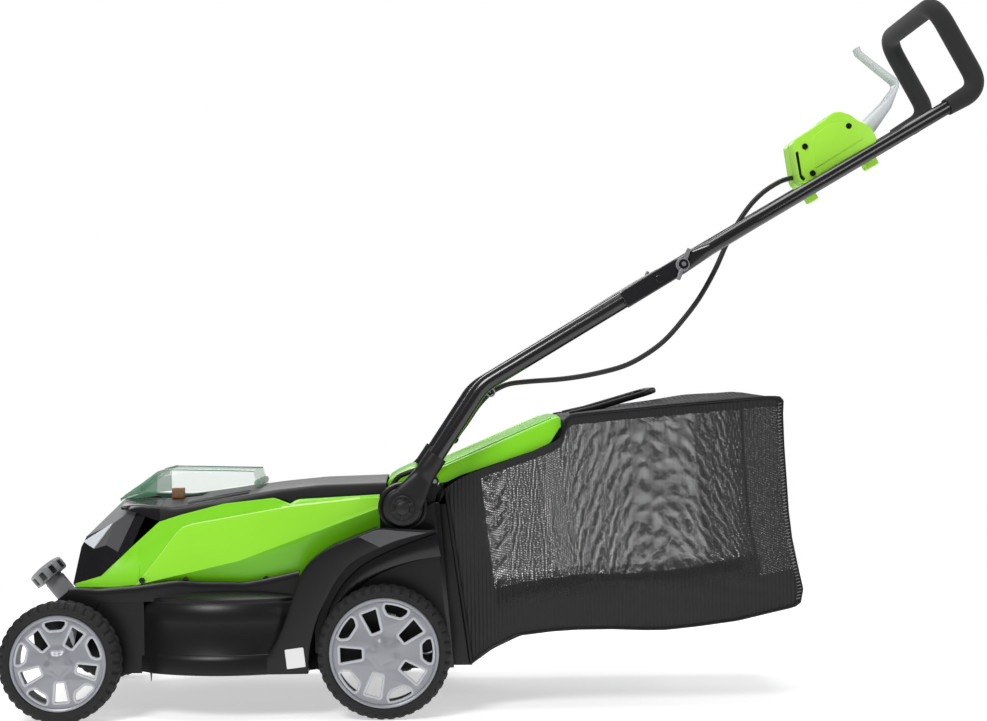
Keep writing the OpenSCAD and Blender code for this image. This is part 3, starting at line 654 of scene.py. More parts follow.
piece("battery_pack", join(block((-518, -42, 196), (-434, 42, 268)),
    block((-514, -38, 268), (-438, 38, 274)), *[block((-517, -43.2 + 84.4 * (i % 2),
    262 - 9 * (i // 2)), (-435, -41.2 + 84.4 * (i % 2), 266 - 9 * (i // 2))) for i in range(12)]),
    CHARCOAL, "battery", ["battery_pack"], bevel=1.6)
piece("battery_handle", tube(rounded_path(
    [(-496, -14, 272), (-496, -14, 279.5), (-496, 14, 279.5), (-496, 14, 272)], 5), 3.2, 12),
    BLACK, "battery")
piece("safety_key", join(
    block((-470, -61, 293), (-453, -47, 307.5)), block((-465, -56, 281), (-458, -52, 294)),
    *[block((-468.5 + 3.4 * i, -61.6, 295), (-467 + 3.4 * i, -46.4, 306)) for i in range(5)],
), COPPER, "key", ["safety_key"], bevel=0.5)

# ---- deck

DECK_LEDGE = [(-600, 176.5), (-594, 178), (-558, 175), (-507, 178.5), (-472, 183), (-450, 185.5),
    (-420, 183), (-359, 181.5), (-330, 186), (-284, 196)]


def ledge_shape():
    """Wavy rail between the hood's foot and the drum."""
    rows = []
    for p in resampled(at_depth(DECK_LEDGE), 70):
        low = 146 if p.x < -560 else 158
        rows.append([(p.x, -141, p.z), (p.x, -146, p.z + 1.2), (p.x, -150, p.z + 0.6),
            (p.x, -151.6, p.z - 2), (p.x, -151.9, p.z - 8), (p.x, -151.4, low)])
    return grid(rows)


pair("deck_ledge", ledge_shape(), BLACK, "chassis", shell=2.5, angle=40)
DRUM = [(183.2, 62.2), (192.0, 62.2), (192.6, 64), (192.4, 80), (191.0, 83.4), (190.2, 84.2),
    (190.2, 132), (189.6, 142), (187.4, 150), (183.6, 157), (178, 162.5), (170, 167), (159, 170),
    (146, 172), (120, 173.2), (60, 173.8), (13, 173.8), (13, 161.8), (183.2, 161.8)]


def drum_shape():
    """The drum's whole wall, open where the chute leaves it."""
    return opened(grid(spun(DRUM + DRUM[:1], 120, DRUM_X), closed_rows=True), lambda x, y,
        z: x > -230 and abs(y) < 108 and 100 < z < 168)


piece("blade_drum_shell", drum_shape(), BLACK, "chassis", ["blade_drum"], angle=50)


def skirt_shape():
    """Raised lip that runs round the drum's foot between the wheels."""
    rows = []
    for k in range(49):
        a = radians(-124 + 66 * k / 48)
        x = DRUM_X + 194 * cos(a)
        top = 91 if k else 68
        drop = max(0.0, min(22.0, (-484 - x) * 3.4))
        rows.append([(DRUM_X + r * cos(a), r * sin(a), z) for r, z in (
            (190, 61.8), (193.6, 61.8), (194.6, 63), (194.4, 81 - drop * 0.6), (193.2, 84 - drop),
            (191.2, top - 3 - drop), (190, top - 2 - drop))])
    return grid(rows)


pair("skirt", skirt_shape(), BLACK, "chassis", angle=40)
SEAL = [(-101, 287), (-91, 287), (-74, 61.5), (-84, 61.5)]
pair("rear_seal", prism(SEAL, -149.6, -138), GLOSS_BLACK, "chassis", bevel=0.8)

SWOOSH = [(-338, 62), (-335, 79), (-322, 91), (-310, 112), (-297, 145), (-288, 172), (-279, 197),
    (-268, 212), (-243, 231), (-207, 245), (-188, 252), (-176, 257)]
ARCH = [(-271, 62), (-269, 93), (-258, 136), (-245, 160), (-232, 186), (-213, 209), (-191, 222),
    (-158, 236), (-130, 244), (-108, 249), (-97, 252)]


def ribbon(outer, inner, n, face, back, roll, crown=0.8):
    """A panel between two side lines, with rolled edges that turn in from face to back."""
    lines = [resampled(at_depth(smooth_line(line)), n) for line in (outer, inner)]
    rolled = [(roll * (1 - cos(t)),
        face + roll * (1 - sin(t))) for t in (k / 3 * pi / 2 for k in range(4))]
    rows = []
    for p, q in zip(*lines):
        across = q - p
        width = across.length
        unit = across / width
        row = [p + Vector((0, back, 0)), p + Vector((0, face + roll * 1.1, 0))]
        row += [p + unit * inwards + Vector((0, y, 0)) for inwards, y in rolled[1:]]
        for k in range(1, 8):
            t = k / 8
            out = face - crown * sin(t * pi)
            row.append(p + unit * (roll + (width - 2 * roll) * t) + Vector((0, out, 0)))
        row += [q - unit * inwards + Vector((0, y, 0)) for inwards, y in rolled[2::-1]]
        row += [q + Vector((0, face + roll * 1.1, 0)), q + Vector((0, back, 0))]
        rows.append(row)
    return grid(rows)


pair("fender", ribbon(SWOOSH, ARCH, 72, -186.5, -150, 2.2), BLACK, "chassis", ["fender_{}"],
    shell=1.2, angle=50)
# a raised band on the fender arch; its lighter grey is a painted reflection
PATCH_TOP = [(-200, 245), (-190, 249), (-179, 253.5), (-168, 255), (-152, 253)]
PATCH_LOW = [(-172, 231), (-158, 237), (-143, 242), (-126, 246), (-110, 249.5)]
pair("fender_patch", ribbon(PATCH_TOP, PATCH_LOW, 24, -188.2, -185, 0.8, 0.2), DARK_GREY_PAINTED, "chassis",
    shell=0.6, angle=50)
pair("arch_liner", ribbon(
    [(-256, 92), (-250, 130), (-232, 170), (-205, 200), (-168, 220), (-120, 238), (-96, 246)],
    [(-238, 92), (-232, 128), (-216, 160), (-192, 182), (-160, 198), (-120, 210), (-90, 214)],
    40, -153.5, -149, 1.0), GLOSS_BLACK, "chassis", shell=1.0, angle=50)
piece("label", prism([(-302, 95), (-277, 98), (-274, 72), (-299, 69)], -188.3, -187.2, 1.5), LABEL,
    "chassis")

BOSS = [(0.1, -188), (3.9, -188), (3.9, -176), (7, -176), (8, -175), (8, -172.4), (24.6, -172.4),
    (25, -171.2), (27, -170.4), (29, -171.6), (31.5, -171.9), (33, -171), (33.5, -169),
    (33.5, -150)]
pair("pivot_boss", turned(PIVOT, BOSS, 72), BLACK, "chassis", ["pivot_boss_{}"], angle=40)

for material, names in (
    (BLACK, "deck_shell terminal_block blade_adapter switch_module start_button"),
    (GLOSS_BLACK, "box_screws deck_screws"), (BOARD, "controller"), (CAST, "motor_housing"),
    (BLADE, "blade"), (STEEL, "motor_shaft blade_bolt front_axle rear_axle link_rod wheel_nuts "
     "handle_bolts door_hinge_pin lift_spring"),
):
    for name in names.split():
        dress(name, material, 0.0 if name in ("lift_spring", "link_rod") else 0.5)

# ---- wheels


def plate(outline, holes, thick, bevel):
    """A flat plate with holes, as a filled curve turned to mesh: points in its own plane."""
    data = bpy.data.curves.new("plate", "CURVE")
    data.dimensions = "2D"
    data.fill_mode = "BOTH"
    data.extrude = thick / 2 - bevel
    data.bevel_depth = bevel
    data.bevel_resolution = 2
    for loop in [outline] + holes:
        spline = data.splines.new("POLY")
        spline.points.add(len(loop) - 1)
        for spot, (u, v) in zip(spline.points, loop):
            spot.co = (u, v, 0, 1)
        spline.use_cyclic_u = True
    curve = put("plate", data)
    mesh = bpy.data.meshes.new_from_object(
        curve.evaluated_get(bpy.context.evaluated_depsgraph_get()))
    shape = ([tuple(v.co) for v in mesh.vertices], [tuple(f.vertices) for f in mesh.polygons])
    bpy.data.objects.remove(curve)
    return shape


def rim_shape(r, turn):
    """Rim in its own plane: x and y across the wheel, z outwards from the tyre's middle."""
    windows, beads = [], []
    for k in range(5):
        inner = [(0.38 * r, -0.105 * r), (0.82 * r, -0.165 * r), (0.82 * r, 0.165 * r),
            (0.38 * r, 0.105 * r)]
        end = [(0.905 * r * cos(a), 0.905 * r * sin(a)) for a in (-0.262, -0.13, 0.0, 0.13, 0.262)]
        outer = [(0.67 * r, -0.135 * r), (0.78 * r, -0.235 * r), *end, (0.78 * r, 0.235 * r),
            (0.67 * r, 0.135 * r)]
        for shape, angle in ((inner, turn + 72 * k), (outer, turn + 36 + 72 * k)):
            loop = rounded_outline(rotated(shape, angle), 0.045 * r)
            windows.append(loop)
            beads.append(swept([(u, v, 14.6) for u, v in loop + loop[:2]],
                lambda t: oval(1.5, 1.9, 2.4, 8), side=(0, 0, 1)))
    face = plate(circle(r - 3.4, 90), windows, 4.4, 0.8)
    face = ([(u, v, w + 12.8) for u, v, w in face[0]], face[1])
    lip = [(r - 6.5, -19), (r - 0.3, -19), (r, -18), (r, 17.6), (r - 0.9, 18.8), (r - 2.6, 19.2),
        (r - 4.2, 18.4), (r - 5.0, 16.4), (r - 5.4, 14.6), (r - 6.5, 12)]
    star = [1 + 0.11 * cos(5 * (2 * pi * k / 60 - radians(turn))) for k in range(60)]
    dome = [(0.32 * r, 14.9), (0.26 * r, 16.0), (0.225 * r, 17.2), (0.20 * r, 18.6),
        (0.14 * r, 19.5), (0.06 * r, 19.8), (0.2, 19.9)]
    hub = [[(a * s * u, a * s * v, b) for s, (u, v) in zip(star, circle(1, 60))] for a, b in dome]
    spigot = [(14, 11), (14, -19), (6.1, -19), (6.1, 9)]
    plain = join(face, *[grid(rings, closed_rows=True) for rings in (
        spun(lip + lip[:1], 96), hub, spun(spigot, 40))])
    whole = join(plain, *beads)
    # bead faces get the second material, a pale painted highlight
    return whole, [int(i >= len(plain[1])) for i in range(len(whole[1]))]


def tyre_shape(r_in, r_out, lugs):
    """Tyre with shoulder lugs, in the same plane as the rim."""
    steps = 6
    profile = [(r_in, -17.5, 0), (r_in, 17.5, 0), (r_in + 1.6, 19.2, 0), (r_in + 5, 19.9, 0),
        (r_out - 8.6, 19.9, 0), (r_out - 7.4, 19.8, 1), (r_out - 3.6, 18.2, 1),
        (r_out - 1.0, 15.0, 1), (r_out, 10.5, 1), (r_out - 0.1, 4.2, 1), (r_out - 2.4, 3.0, 0),
        (r_out - 2.4, -3.0, 0), (r_out - 0.1, -4.2, 2), (r_out, -10.5, 2), (r_out - 1.0, -15.0, 2),
        (r_out - 3.6, -18.2, 2), (r_out - 7.4, -19.8, 2), (r_out - 8.6, -19.9, 0),
        (r_in + 5, -19.9, 0), (r_in + 1.6, -19.2, 0)]
    rows = []
    for k in range(lugs * steps):
        a = 2 * pi * k / (lugs * steps)
        row = []
        for r, w, side in profile:
            phase = (k + (steps // 2 if side == 2 else 0)) % steps
            groove = side and phase in (0, 1)
            deep = 0.0 if not groove else 1.3 if abs(w) < 12 else 2.4
            inset = copysign(1.8, w) if groove and abs(w) > 12 else 0.0
            row.append(((r - deep) * cos(a), (r - deep) * sin(a), w - inset))
        rows.append(row)
    return grid(rows + rows[:1], closed_rows=True)


def on_wheel(shape, axle, left):
    """Puts a wheel-plane shape on its axle, outer face towards the mower's side."""
    sign = -1 if left else 1
    return [(axle[0] + u, sign * (180 + w), axle[1] + v) for u, v, w in shape[0]], shape[1]


for end, axle, r_tyre, r_rim, turn, lugs in (
    ("front", FRONT_AXLE, 82, 65, 58, 36), ("rear", REAR_AXLE, 90, 74, 38, 40),
):
    (rim, rim_kinds), tyre = rim_shape(r_rim, turn), tyre_shape(r_rim, r_tyre, lugs)
    for side in ("left", "right"):
        where = end + "_" + side
        piece("rim_" + where, on_wheel(rim, axle, side == "left"), RIM, "wheel_" + where,
            ["rim_" + where], angle=38, more=(RIM_BEAD_PAINTED_HIGHLIGHT,), kinds=rim_kinds)
        piece("tyre_" + where, on_wheel(tyre, axle, side == "left"), RUBBER, "wheel_" + where,
            ["tyre_" + where], bevel=0.5, angle=38, segments=1)

# ---- height lever

LEAN = Vector((-0.63, 0, 0.777))
KNOB = Vector((-655, 0, 177))


def on_lever(shape):
    """From upright about the knob's base to leaning along the lever."""
    turn = Vector((0, 0, 1)).rotation_difference(LEAN).to_matrix()
    return [tuple(KNOB + turn @ Vector(p)) for p in shape[0]], shape[1]


shank = swept([(0, 0, -95), (0, 0, -80), (0, 0, -50), (0, 0, -20), (0, 0, 0)],
    lambda t: oval(13, 14 - 1.5 * t, 4.5, 28))
flutes = [swept([(0.2, y, -60), (0.2, y, -4)], lambda t: oval(1.4, 13.6, 3, 12)) for y in (-8, 0,
    8)]
piece("height_lever", on_lever(join(shank, *flutes)), GREY, "height_lever", ["height_lever"],
    bevel=0.6)
piece("lever_hub", turned(FRONT_AXLE, [(6.2, -14), (12.4, -14), (13, -13.4), (13, 13.4), (12.4, 14),
    (6.2, 14)], 40), GREY, "height_lever")
lobes = [0.9 if (k + 3) % 16 < 6 else 0 for k in range(144)]
knob = [[((a + lobe) * u, (a + lobe) * v, b) for lobe, (u, v) in zip(lobes, circle(1, 144))] for a,
    b in ((16, 0), (24, 0), (25, 1.2), (25.1, 14), (25, 16.5), (23, 18.4), (19, 19.8), (12, 21),
    (0.1, 21.5))]
piece("height_knob", on_lever(solid(knob)), PALE_GREY,
    "height_lever", ["height_knob"], angle=40)
inlay, inlay_faces = block((24.3, -3.6, 2.2), (25.9, 3.6, 14))
inlays = [(rotated(inlay, 40 * (k + 0.5)), inlay_faces) for k in range(9)]
piece("knob_inlays", on_lever(join(*inlays)), GLOSS_BLACK, "height_lever", bevel=0.4)

# ---- handle


def beyond(at, angle, d, y):
    a = radians(angle)
    return (at[0] + d * cos(a), y, at[1] + d * sin(a))


def arm_section(t):
    """From the flat disc at the pivot to the thick end that holds the tube."""
    wide, deep = 24 - 9.4 * min(1.0, t * 1.5), 5.6 + 9 * clamped((t - 0.25) * 2.2)
    return oval(deep, wide, 2 + 1.4 * (1 - t), 28)


arm_path = [beyond(PIVOT, ARM_ANGLE, d, -178.6 + 10.6 * clamped((d - 22) / 26)) for d in (0, 6, 12,
    18, 24, 30, 36, 42, 48, 56, 64, 72, 80, 84)]
ARM_DISC = [(0.1, -183.6), (12, -183.6), (22, -183.6), (24, -182.8), (25, -181), (25, -174),
    (24.4, -172.8), (0.1, -172.8)]
pair("handle_arm", join(swept(arm_path, arm_section), turned(PIVOT, ARM_DISC, 64)), CHARCOAL,
    "lower_handle", ["handle_arm_{}"], angle=50)
KNOB_DISC = [(4.1, -184.2), (16.4, -184.2), (17, -185), (17, -187.4), (16, -188.6), (12, -188.6),
    (11, -189), (9.6, -190.4), (9, -195), (8, -196), (0.1, -196.2)]
ribs = [swept([beyond(PIVOT, 25 + 60 * k, d, -190.4) for d in (7, 10, 13, 15.8)],
    lambda t: oval(2.8 - 1.4 * t, 1.9, 2.6, 14)) for k in range(6)]
pair("pivot_knob", join(turned(PIVOT, KNOB_DISC, 48), *ribs), CHARCOAL, "pivot_knob_{}",
    ["pivot_knob_{}"], angle=45)

low_path = rounded_path([beyond(PIVOT, ARM_ANGLE, 52, -TUBE_Y), (ELBOW[0], -TUBE_Y, ELBOW[1]),
    beyond(BOLT, TUBE_ANGLE, 24, -TUBE_Y)], 70, 12)
pair("lower_tube", tube(low_path, 11, 28), PAINT, "lower_handle", ["lower_tube_{}"], angle=60)
pair("tube_plug", tube([beyond(BOLT, TUBE_ANGLE, 23, -TUBE_Y), beyond(BOLT, TUBE_ANGLE, 26.5,
    -TUBE_Y)], 9.6, 24), BLACK, "lower_handle", bevel=0.8)

UPPER_Y = 189.3
GRIP_START = 0.847        # share of the upper slope that is bare tube
REAR_CORNER = (669, -113, 851)
TOP_CORNER = (606, -113, 968)


def flip(p):
    return (p[0], -p[1], p[2])


leg = [beyond(BOLT, TUBE_ANGLE, 42, -UPPER_Y), beyond(BOLT, TUBE_ANGLE, 112, -UPPER_Y), REAR_CORNER,
    TOP_CORNER]
whole = rounded_path(leg + [flip(p) for p in reversed(leg)], 34, 12)
piece("upper_tube", tube(whole, 9.5, 28), PAINT, "upper_handle", ["upper_tube"], angle=60)


def flat_end(t):
    """From the flattened, drilled end to the round tube."""
    grow = clamped((t - 0.62) / 0.34)
    return oval(3.5 + 6.0 * grow, 12 - 2.5 * grow, 5 - 3 * grow, 28)


end_path = [beyond(BOLT, TUBE_ANGLE, d, -182.8 - 6.5 * clamped((d - 2) / 40)) for d in (-92, -86,
    -78, -60, -30, -12, 0, 10, 18, 26, 34, 42, 48)]
pair("joint_plate", swept(end_path, flat_end), PAINT, "upper_handle", bevel=0.8, angle=45)

foam_start = [leg[1][i] + GRIP_START * (REAR_CORNER[i] - leg[1][i]) for i in range(3)]
foam_path = rounded_path([foam_start, REAR_CORNER, TOP_CORNER, flip(TOP_CORNER), flip(REAR_CORNER),
    flip(foam_start)], 34, 12)
foam = piece("foam_grip", swept(foam_path, lambda t: circle(
    13.4 if 0.004 < t < 0.996 else 11.6, 32)), FOAM, "upper_handle", ["foam_grip"], angle=60)

WING = [(3.1, -194.4), (8, -194.4), (8, -190), (9.4, -189), (9.6, -186.8), (3.1, -186.8)]
wings = [swept([beyond(BOLT, turn, d, -191.4 - 0.2 * d) for d in (5, 9, 14, 19, 22)],
    lambda t: oval(2.2, 2.4 + 0.8 * sin(t * 3), 2.4, 16)) for turn in (70, 250)]
pair("wing_nut", join(turned(BOLT, WING, 40), *wings), GREY, "wing_nut_{}", ["wing_nut_{}"],
    angle=45)
pair("wing_nut_core", turned(BOLT, [(3.1, -195), (6.4, -195), (6.6, -194), (3.1, -194)], 32),
    GLOSS_BLACK, "wing_nut_{}")
HOLE = beyond(BOLT, TUBE_ANGLE, -36, 0)[::2]
pair("spare_hole", turned(HOLE, [(3.2, -186.2), (4.6, -186.6), (5.2, -186.3), (5.4, -185.6)], 24),
    GLOSS_BLACK, "upper_handle")

# ---- switch box and bail

BOX = [(397, 774), (438, 800), (450, 811), (461, 814), (477, 809), (488, 800), (499, 796),
    (508, 787), (514, 772), (416, 712), (405, 720)]


def saddle(at, half, y0, y1):
    """Half of a clamp, behind the tube, that the box stands on."""
    ahead, up = Vector((0.869, 0.494)), Vector((-0.494, 0.869))
    corners = [Vector(at) + ahead * a + up * b for a, b in (
        (-half, -16), (half, -16), (half, 12), (-half, 12))]
    return prism(corners, y0, y1, 3)


# the box and its panel are drawn in the lime painted brighter for the light on them
piece("switch_box_outer", join(
    prism(BOX, -155, -125.6, 5), saddle((417, 705), 7, -162, -140),
    saddle((503, 753), 10, -142, -126),
), LIME_LIT, "upper_handle", ["switch_box_outer"], bevel=2.4, angle=40)
piece("switch_box_inner", prism(BOX, -124.4, -95, 5), LIME_LIT, "upper_handle",
    ["switch_box_inner"], bevel=2.4, angle=40)
piece("box_seam", prism([(x * 0.985 + 6.8, z * 0.985 + 11.4) for x, z in BOX], -126, -124, 4),
    BLACK, "upper_handle")
# gloss black slab where the box has a slot: the painted shade of its recess
piece("box_slot_painted_shade", prism(
    [(401, 758), (404.5, 760), (409, 728), (414, 722), (411, 719), (406.5, 724)],
    -155.4, -150, 1.2), GLOSS_BLACK, "upper_handle")
piece("box_panel", prism(
    [(424, 779), (450, 798), (470, 799), (488, 786), (494, 776), (426, 735)],
    -156.2, -153, 6), LIME_LIT, "upper_handle", bevel=0.8, angle=40)

bail_path = rounded_path([(489, -125, 776), (509, -125, 797), (532, -125, 824), (547, -125, 851),
    (545, -125, 858), (514, -125, 883), (496, -125, 898), (494, -125, 905)], 9, 6)
BAIL_HALF = [(0, 9), (0.12, 11.5), (0.3, 9.5), (0.46, 5.5), (0.53, 3.4), (0.93, 2.8), (1, 3.2)]


def bail_section(t):
    return oval(17 - 4.5 * clamped((t - 0.4) * 2), along_line(BAIL_HALF, t), 3, 24)


piece("bail_lever", join(swept(bail_path, bail_section), turned((490, 774),
    [(3.1, -144.5), (8.4, -144.5), (9, -143.8), (9, -106.2), (8.4, -105.5), (3.1, -105.5)], 40)),
    WHITE_GREY, "bail", ["bail_lever"], angle=50)

# ---- cable

CABLE_TOP = [(403, -125, 727.5), (385, -129, 722), (358, -138, 705), (334, -145, 680),
    (310, -148, 642), (290, -150, 600), (268, -150, 562), (244, -150, 531), (219, -150, 504),
    (191, -150, 484), (162, -150, 470), (121, -150, 460), (79, -150, 454), (31, -150, 451),
    (4, -150, 447.5), (-19, -150, 437)]
CABLE_LOW = [(-19.2, -150, 436.8), (-36, -149, 419), (-55, -147, 392), (-80, -143, 360),
    (-100, -139, 342), (-122, -136, 332), (-144, -133, 324), (-153, -127, 314), (-158, -117, 303),
    (-166, -111, 292), (-184, -109, 286)]


def spline(points, steps=5):
    """A smooth curve through given points."""
    p = [Vector(points[0])] + [Vector(q) for q in points] + [Vector(points[-1])]
    made = []
    for i in range(1, len(p) - 2):
        for k in range(steps):
            t = k / steps
            made.append(0.5 * (2 * p[i] + (p[i + 1] - p[i - 1]) * t
                               + (2 * p[i - 1] - 5 * p[i] + 4 * p[i + 1] - p[i + 2]) * t * t
                               + (3 * p[i] - p[i - 1] - 3 * p[i + 1] + p[i + 2]) * t ** 3))
    return made + [Vector(points[-1])]


upper_cable = piece("cable_upper", tube(spline(CABLE_TOP), 3.5, 14), CABLE, None, ["cable_upper"],
    angle=60)
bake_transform(upper_cable)
lower_cable = piece("cable_lower", tube(spline(CABLE_LOW), 3.5, 14), CABLE, None, ["cable_lower"],
    angle=60)
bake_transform(lower_cable)
for i, (x, z) in enumerate(((-19, 437), (-70, 374))):
    loop = [(x + 5.4 * cos(a / 3), -150.4, z + 5.4 * sin(a / 3)) for a in range(20)]
    piece("cable_clip_%d" % i, swept(loop, lambda t: oval(5.4, 1.3, 4, 12)),
        PALE_GREY if i == 0 else BLACK, "lower_handle", ["cable_clips"] if i == 0 else [],
        slot="grey_plastic")

# ---- rear door

DOOR_TOP = [(-107, 308), (-105, 318), (-100, 327), (-91, 333.5), (-60, 346.5), (0, 372), (50, 393),
    (70, 401.5), (76, 402.6), (78.4, 399), (78, 392)]
DOOR_FOOT = [(-107, 306), (-92, 313), (-80, 314.5), (-62, 323), (-3, 342), (40, 356), (63, 366),
    (77, 388)]


def door_shape():
    rows = []
    for p in resampled(at_depth(DOOR_TOP), 60):
        foot = min(along_line(DOOR_FOOT, p.x), p.z - 0.5)
        row = []
        for y, drop in ((128, None), (128, 3.0), (127.2, 1.2), (125.4, 0.2), (118, 0.0), (96, 0.0),
                (94, -1.8), (60, -2.2), (0, -2.6)):
            z = foot if drop is None else max(foot, p.z - drop)
            row.append((p.x, -y, z))
        rows.append(row + [(x, -y, z) for x, y, z in reversed(row[:-1])])
    return grid(rows)


piece("rear_door", door_shape(), LIME, "door", ["rear_door"], shell=2.6, angle=30)
pair("door_strip", swept([(x, -110, along_line(DOOR_TOP, x) + 1.1) for x in (-84, -60, -20, 20, 50,
    66)], lambda t: oval(7, 1.4, 4, 16)), LIME, "door", angle=50)

# ---- grass bag

BAG_TOP = [(-82, 306), (-60, 322), (-1, 341.5), (40, 356), (66, 366), (80, 374), (84, 398),
    (92, 404), (150, 409), (230, 416), (300, 421), (360, 425), (378, 424.5), (382, 420)]
BAG_LOW = [(-50, 66), (-22, 86), (17, 104), (60, 109), (96, 111), (145, 111), (190, 109),
    (218, 109), (260, 113), (316, 120), (360, 130), (392, 137), (400, 140), (402, 143)]
BAG_REAR = [(402, 143), (405.5, 161), (398, 195), (391, 231), (387, 268), (385, 305), (382, 360),
    (381, 402), (382, 420)]
BAG_FRONT = [(-50, 66), (-58, 126), (-66, 186), (-74, 246), (-82, 306)]
BAG_LINES = [at_depth(smooth_line(line, 1)) for line in (BAG_LOW, BAG_TOP)]
BAG_LONG, BAG_TALL, BAG_WIDE = 84, 46, 34     # points along, up and across the cloth
BAG_HALF = 136.5
OPEN, CLOSE, DENSE, TOP = range(4)            # the cloth's knits, in its materials' order


def side_point(u, v, low, top, front, rear):
    """Point of the left side panel, bulged, creased and hanging between its four seams."""
    (low_front, low_rear), (top_front, top_rear) = (
        (Vector(line[0]), Vector(line[-1])) for line in BAG_LINES)
    p = (low * (1 - v) + top * v + front * (1 - u) + rear * u
         - (low_front * (1 - u) * (1 - v) + low_rear * u * (1 - v)
            + top_front * (1 - u) * v + top_rear * u * v))
    near = [sin(min(1.0, 3.2 * min(t, 1 - t)) * pi / 2) for t in (u, v)]
    full = near[0] * near[1]
    crease = (1.7 * sin(5.1 * u + 2.6 * v + 0.7) + 1.1 * sin(11.3 * u - 7.7 * v + 1.9)
              + 0.8 * sin(17.0 * v + 13.3 * u * u))
    fan = 2.6 * sin(26 * atan2(1.06 - v, 1.10 - u)) * (u * v) ** 1.3
    fan += 2.0 * sin(30 * atan2(v + 0.05, 1.12 - u)) * (u * (1 - v)) ** 1.5
    out = BAG_HALF + full * (2.6 + crease + fan) - 2.0 * full * (1 - v) * (1 - u)
    return Vector((p.x, -out, p.z))


def bag_shell():
    """Rings round the bag from its mouth to its rear seam, and the rear panel that ends them."""
    low, top = (resampled(line, BAG_LONG) for line in BAG_LINES)
    front, rear = (resampled(at_depth(line), BAG_TALL) for line in (BAG_FRONT, BAG_REAR))
    rings, lengths, kinds = [], [], []
    for i in range(BAG_LONG):
        u = i / (BAG_LONG - 1)
        left = [side_point(u, j / (BAG_TALL - 1), low[i], top[i], front[j],
            rear[j]) for j in range(BAG_TALL)]
        right = [Vector((p.x, -p.y, p.z)) for p in reversed(left)]
        full = clamped((u - 0.32) * 2.2) * min(1.0, (1 - u) * 11)
        over, under = [], []
        for k in range(1, BAG_WIDE):
            t = k / BAG_WIDE
            y = BAG_HALF * (2 * t - 1)
            swell = sin(pi * t)
            wave = 0.9 * sin(0.09 * y + 9 * u) + 0.7 * sin(0.05 * y - 23 * u)
            over.append(Vector((top[i].x, y, top[i].z + swell ** 0.6 * (10 + wave) * full)))
            under.append(Vector((low[i].x, -y, low[i].z - swell * (3.0 * sin(pi * u) - wave))))
        ring = left + over + right + under
        rings.append(ring)
        run = 0.0
        for before, p in zip([ring[0]] + ring, ring):
            run += (p - before).length
            lengths.append((p.x / 1000, run / 1000))
    n = len(rings[0])
    for i in range(BAG_LONG - 1):
        for k in range(n):
            # height up the left side, or up the right side, where the ring comes down
            j = k if k < BAG_TALL else n - BAG_WIDE - k
            on_side = k < BAG_TALL - 1 or BAG_TALL + BAG_WIDE - 1 <= k < 2 * BAG_TALL + BAG_WIDE - 2
            if not on_side:
                kinds.append(TOP if k < BAG_TALL + BAG_WIDE and i > 20 else DENSE)
            elif 0 <= j < 8 or i < 9 or j >= BAG_TALL - 3:
                kinds.append(DENSE)
            else:
                kinds.append(CLOSE if i > BAG_LONG - 15 or j < 10 else OPEN)
    rows = []
    for j in range(BAG_TALL):
        edge = rings[-1][j]
        rows.append([Vector((edge.x + 6 * sin(pi * k / BAG_WIDE) * sin(pi * j / (BAG_TALL - 1)),
            edge.y + 2 * -edge.y * k / BAG_WIDE, edge.z)) for k in range(BAG_WIDE + 1)])
        lengths += [(p.y / 1000, p.z / 1000) for p in rows[-1]]
    kinds += [CLOSE] * ((BAG_TALL - 1) * BAG_WIDE)
    rings = [[tuple(p) for p in ring] for ring in rings]
    return join(grid(rings, closed_rows=True), grid(rows)), lengths, kinds


cloth, cloth_lengths, cloth_kinds = bag_shell()
piece("grass_bag_cloth", cloth, NET, "bag", ["grass_bag"], angle=70, uvs=cloth_lengths,
    more=(NET_CLOSE, NET_DENSE, NET_TOP), kinds=cloth_kinds)
for name, line, r in (("top", BAG_TOP[5:], 2.2), ("low", BAG_LOW, 2.0), ("rear", BAG_REAR, 2.4),
        ("mouth", BAG_FRONT, 3.2)):
    seam = resampled(at_depth(line, -BAG_HALF - 0.5), 60)
    pair("bag_piping_" + name, tube(seam, r, 10), BLACK, "bag", angle=60)
for name, x, z in (("upper", 382, 420), ("lower", 402, 143)):
    piece("bag_seam_" + name, tube([(x, y, z) for y in range(-136, 137, 16)], 2.3, 10, CROSSWISE),
        BLACK, "bag", angle=60)
stitches = [tube([(p.x - 5.0, -BAG_HALF - 1.4, p.z), (p.x - 0.8, -BAG_HALF - 3.2, p.z + 1.6)], 0.55,
    6) for p in resampled(at_depth(BAG_REAR), 62)[1:-1]]
pair("bag_stitching", join(*stitches), GREY, "bag", angle=60)

FRAME = [(-93.5, 287), (-76.5, 63), (-48.5, 63), (-79.5, 304), (-86, 304)]
piece("bag_frame", join(
    *[prism(FRAME, y0, y1) for y0, y1 in ((-137, -114), (114, 137))],
    prism([(-78, 63), (-80, 84), (-51, 84), (-48.5, 63)], -137, 137),
    prism([(-93, 284), (-86, 304), (-79.5, 304), (-77, 284)], -137, 137),
), BLACK, "bag", ["bag_frame"], bevel=1.6)
grip = rounded_path([(97, -58, 405), (130, -58, 412), (206, -58, 433.4), (218, -46, 437),
    (218, 46, 437), (206, 58, 433.4), (130, 58, 412), (97, 58, 405)], 16, 6)
piece("bag_handle", swept(grip, lambda t: oval(4.6, 4.2, 3, 18)), BLACK, "bag", ["bag_handle"],
    angle=50)

# ---- studio


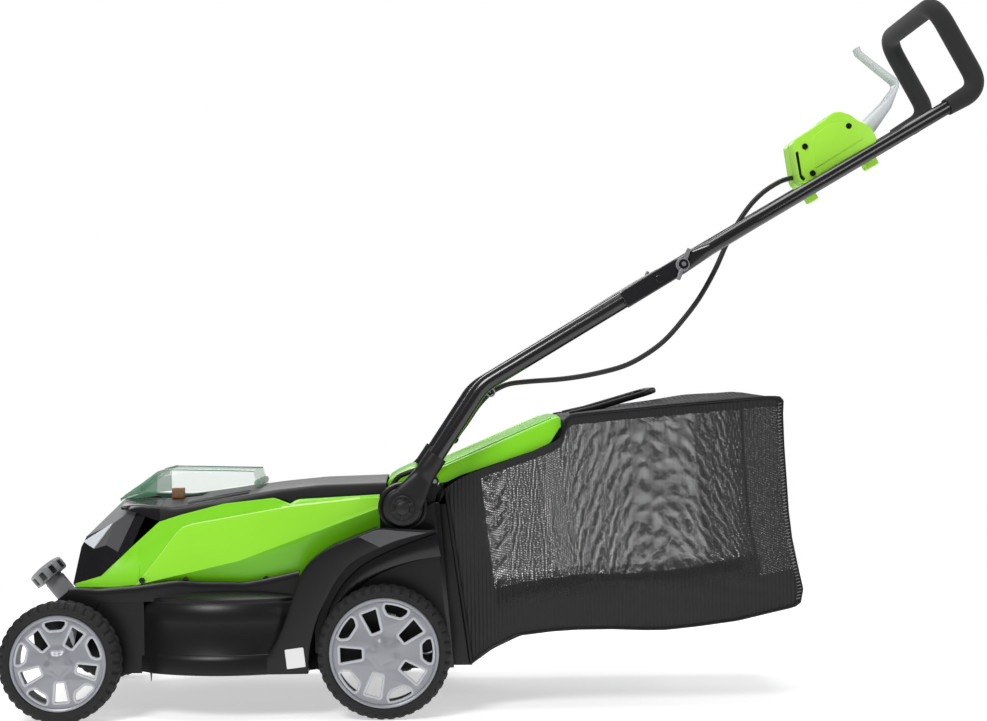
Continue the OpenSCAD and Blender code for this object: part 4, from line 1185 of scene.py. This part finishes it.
def studio():
    mesh = bpy.data.meshes.new("floor")
    ring = [(2.1 * u, 1.7 * v, 0) for u, v in circle(1, 64)]
    mesh.from_pydata(ring, [], [tuple(range(64))])
    mesh.materials.append(pale_floor())
    put("floor", mesh)
    for name, at, aim, size, power in (
        ("key", (-1.5, -2.4, 2.7), (-0.1, 0, 0.3), 1.1, 62),
        ("fill", (2.4, -2.2, 1.6), (0.1, 0, 0.4), 1.0, 13),
        ("top", (0.0, 0.1, 3.0), (0, 0, 0.2), 1.6, 38),
        ("back", (-0.6, 2.8, 2.0), (0, 0, 0.5), 1.6, 22),
        ("rear", (3.0, 0.8, 1.8), (0.2, 0, 0.4), 1.2, 16),
    ):
        lamp = put(name, bpy.data.lights.new(name, "AREA"))
        lamp.data.size = size
        lamp.data.energy = power
        lamp.location = at
        lamp.rotation_mode = "QUATERNION"
        lamp.rotation_quaternion = (Vector(at) - Vector(aim)).to_track_quat("Z", "Y")
    world = bpy.data.worlds.new("studio")
    bpy.context.scene.world = world
    world.use_nodes = True
    tree = world.node_tree
    sky = tree.nodes["Background"]
    sky.inputs["Color"].default_value = (0.95, 0.97, 1.0, 1)
    sky.inputs["Strength"].default_value = 0.24
    seen = node(tree, "Background", Color=(1, 1, 1, 1), Strength=1.0)
    both = tree.nodes.new("ShaderNodeMixShader")
    for socket, value in zip(both.inputs, (node(tree, "LightPath").outputs["Is Camera Ray"],
            sky.outputs[0], seen.outputs[0])):
        feed(tree, socket, value)
    feed(tree, tree.nodes["World Output"].inputs["Surface"], both.outputs[0])


def camera():
    """At the side, 0.43 m up and level, 2.35 m from the middle, rolled by under a degree."""
    data = bpy.data.cameras.new("camera")
    data.sensor_width = 36
    data.lens = 58.73
    data.shift_x = 0.0745
    data.shift_y = 0.0400
    eye = put("camera", data)
    roll = radians(0.81)
    eye.matrix_world = Matrix((
        (cos(roll), sin(roll), 0, -0.11105),
        (0, 0, -1, -2.35),
        (-sin(roll), cos(roll), 0, 0.428),
        (0, 0, 0, 1),
    ))
    bpy.context.scene.camera = eye


studio()
camera()
bpy.context.scene.view_settings.view_transform = "Standard"
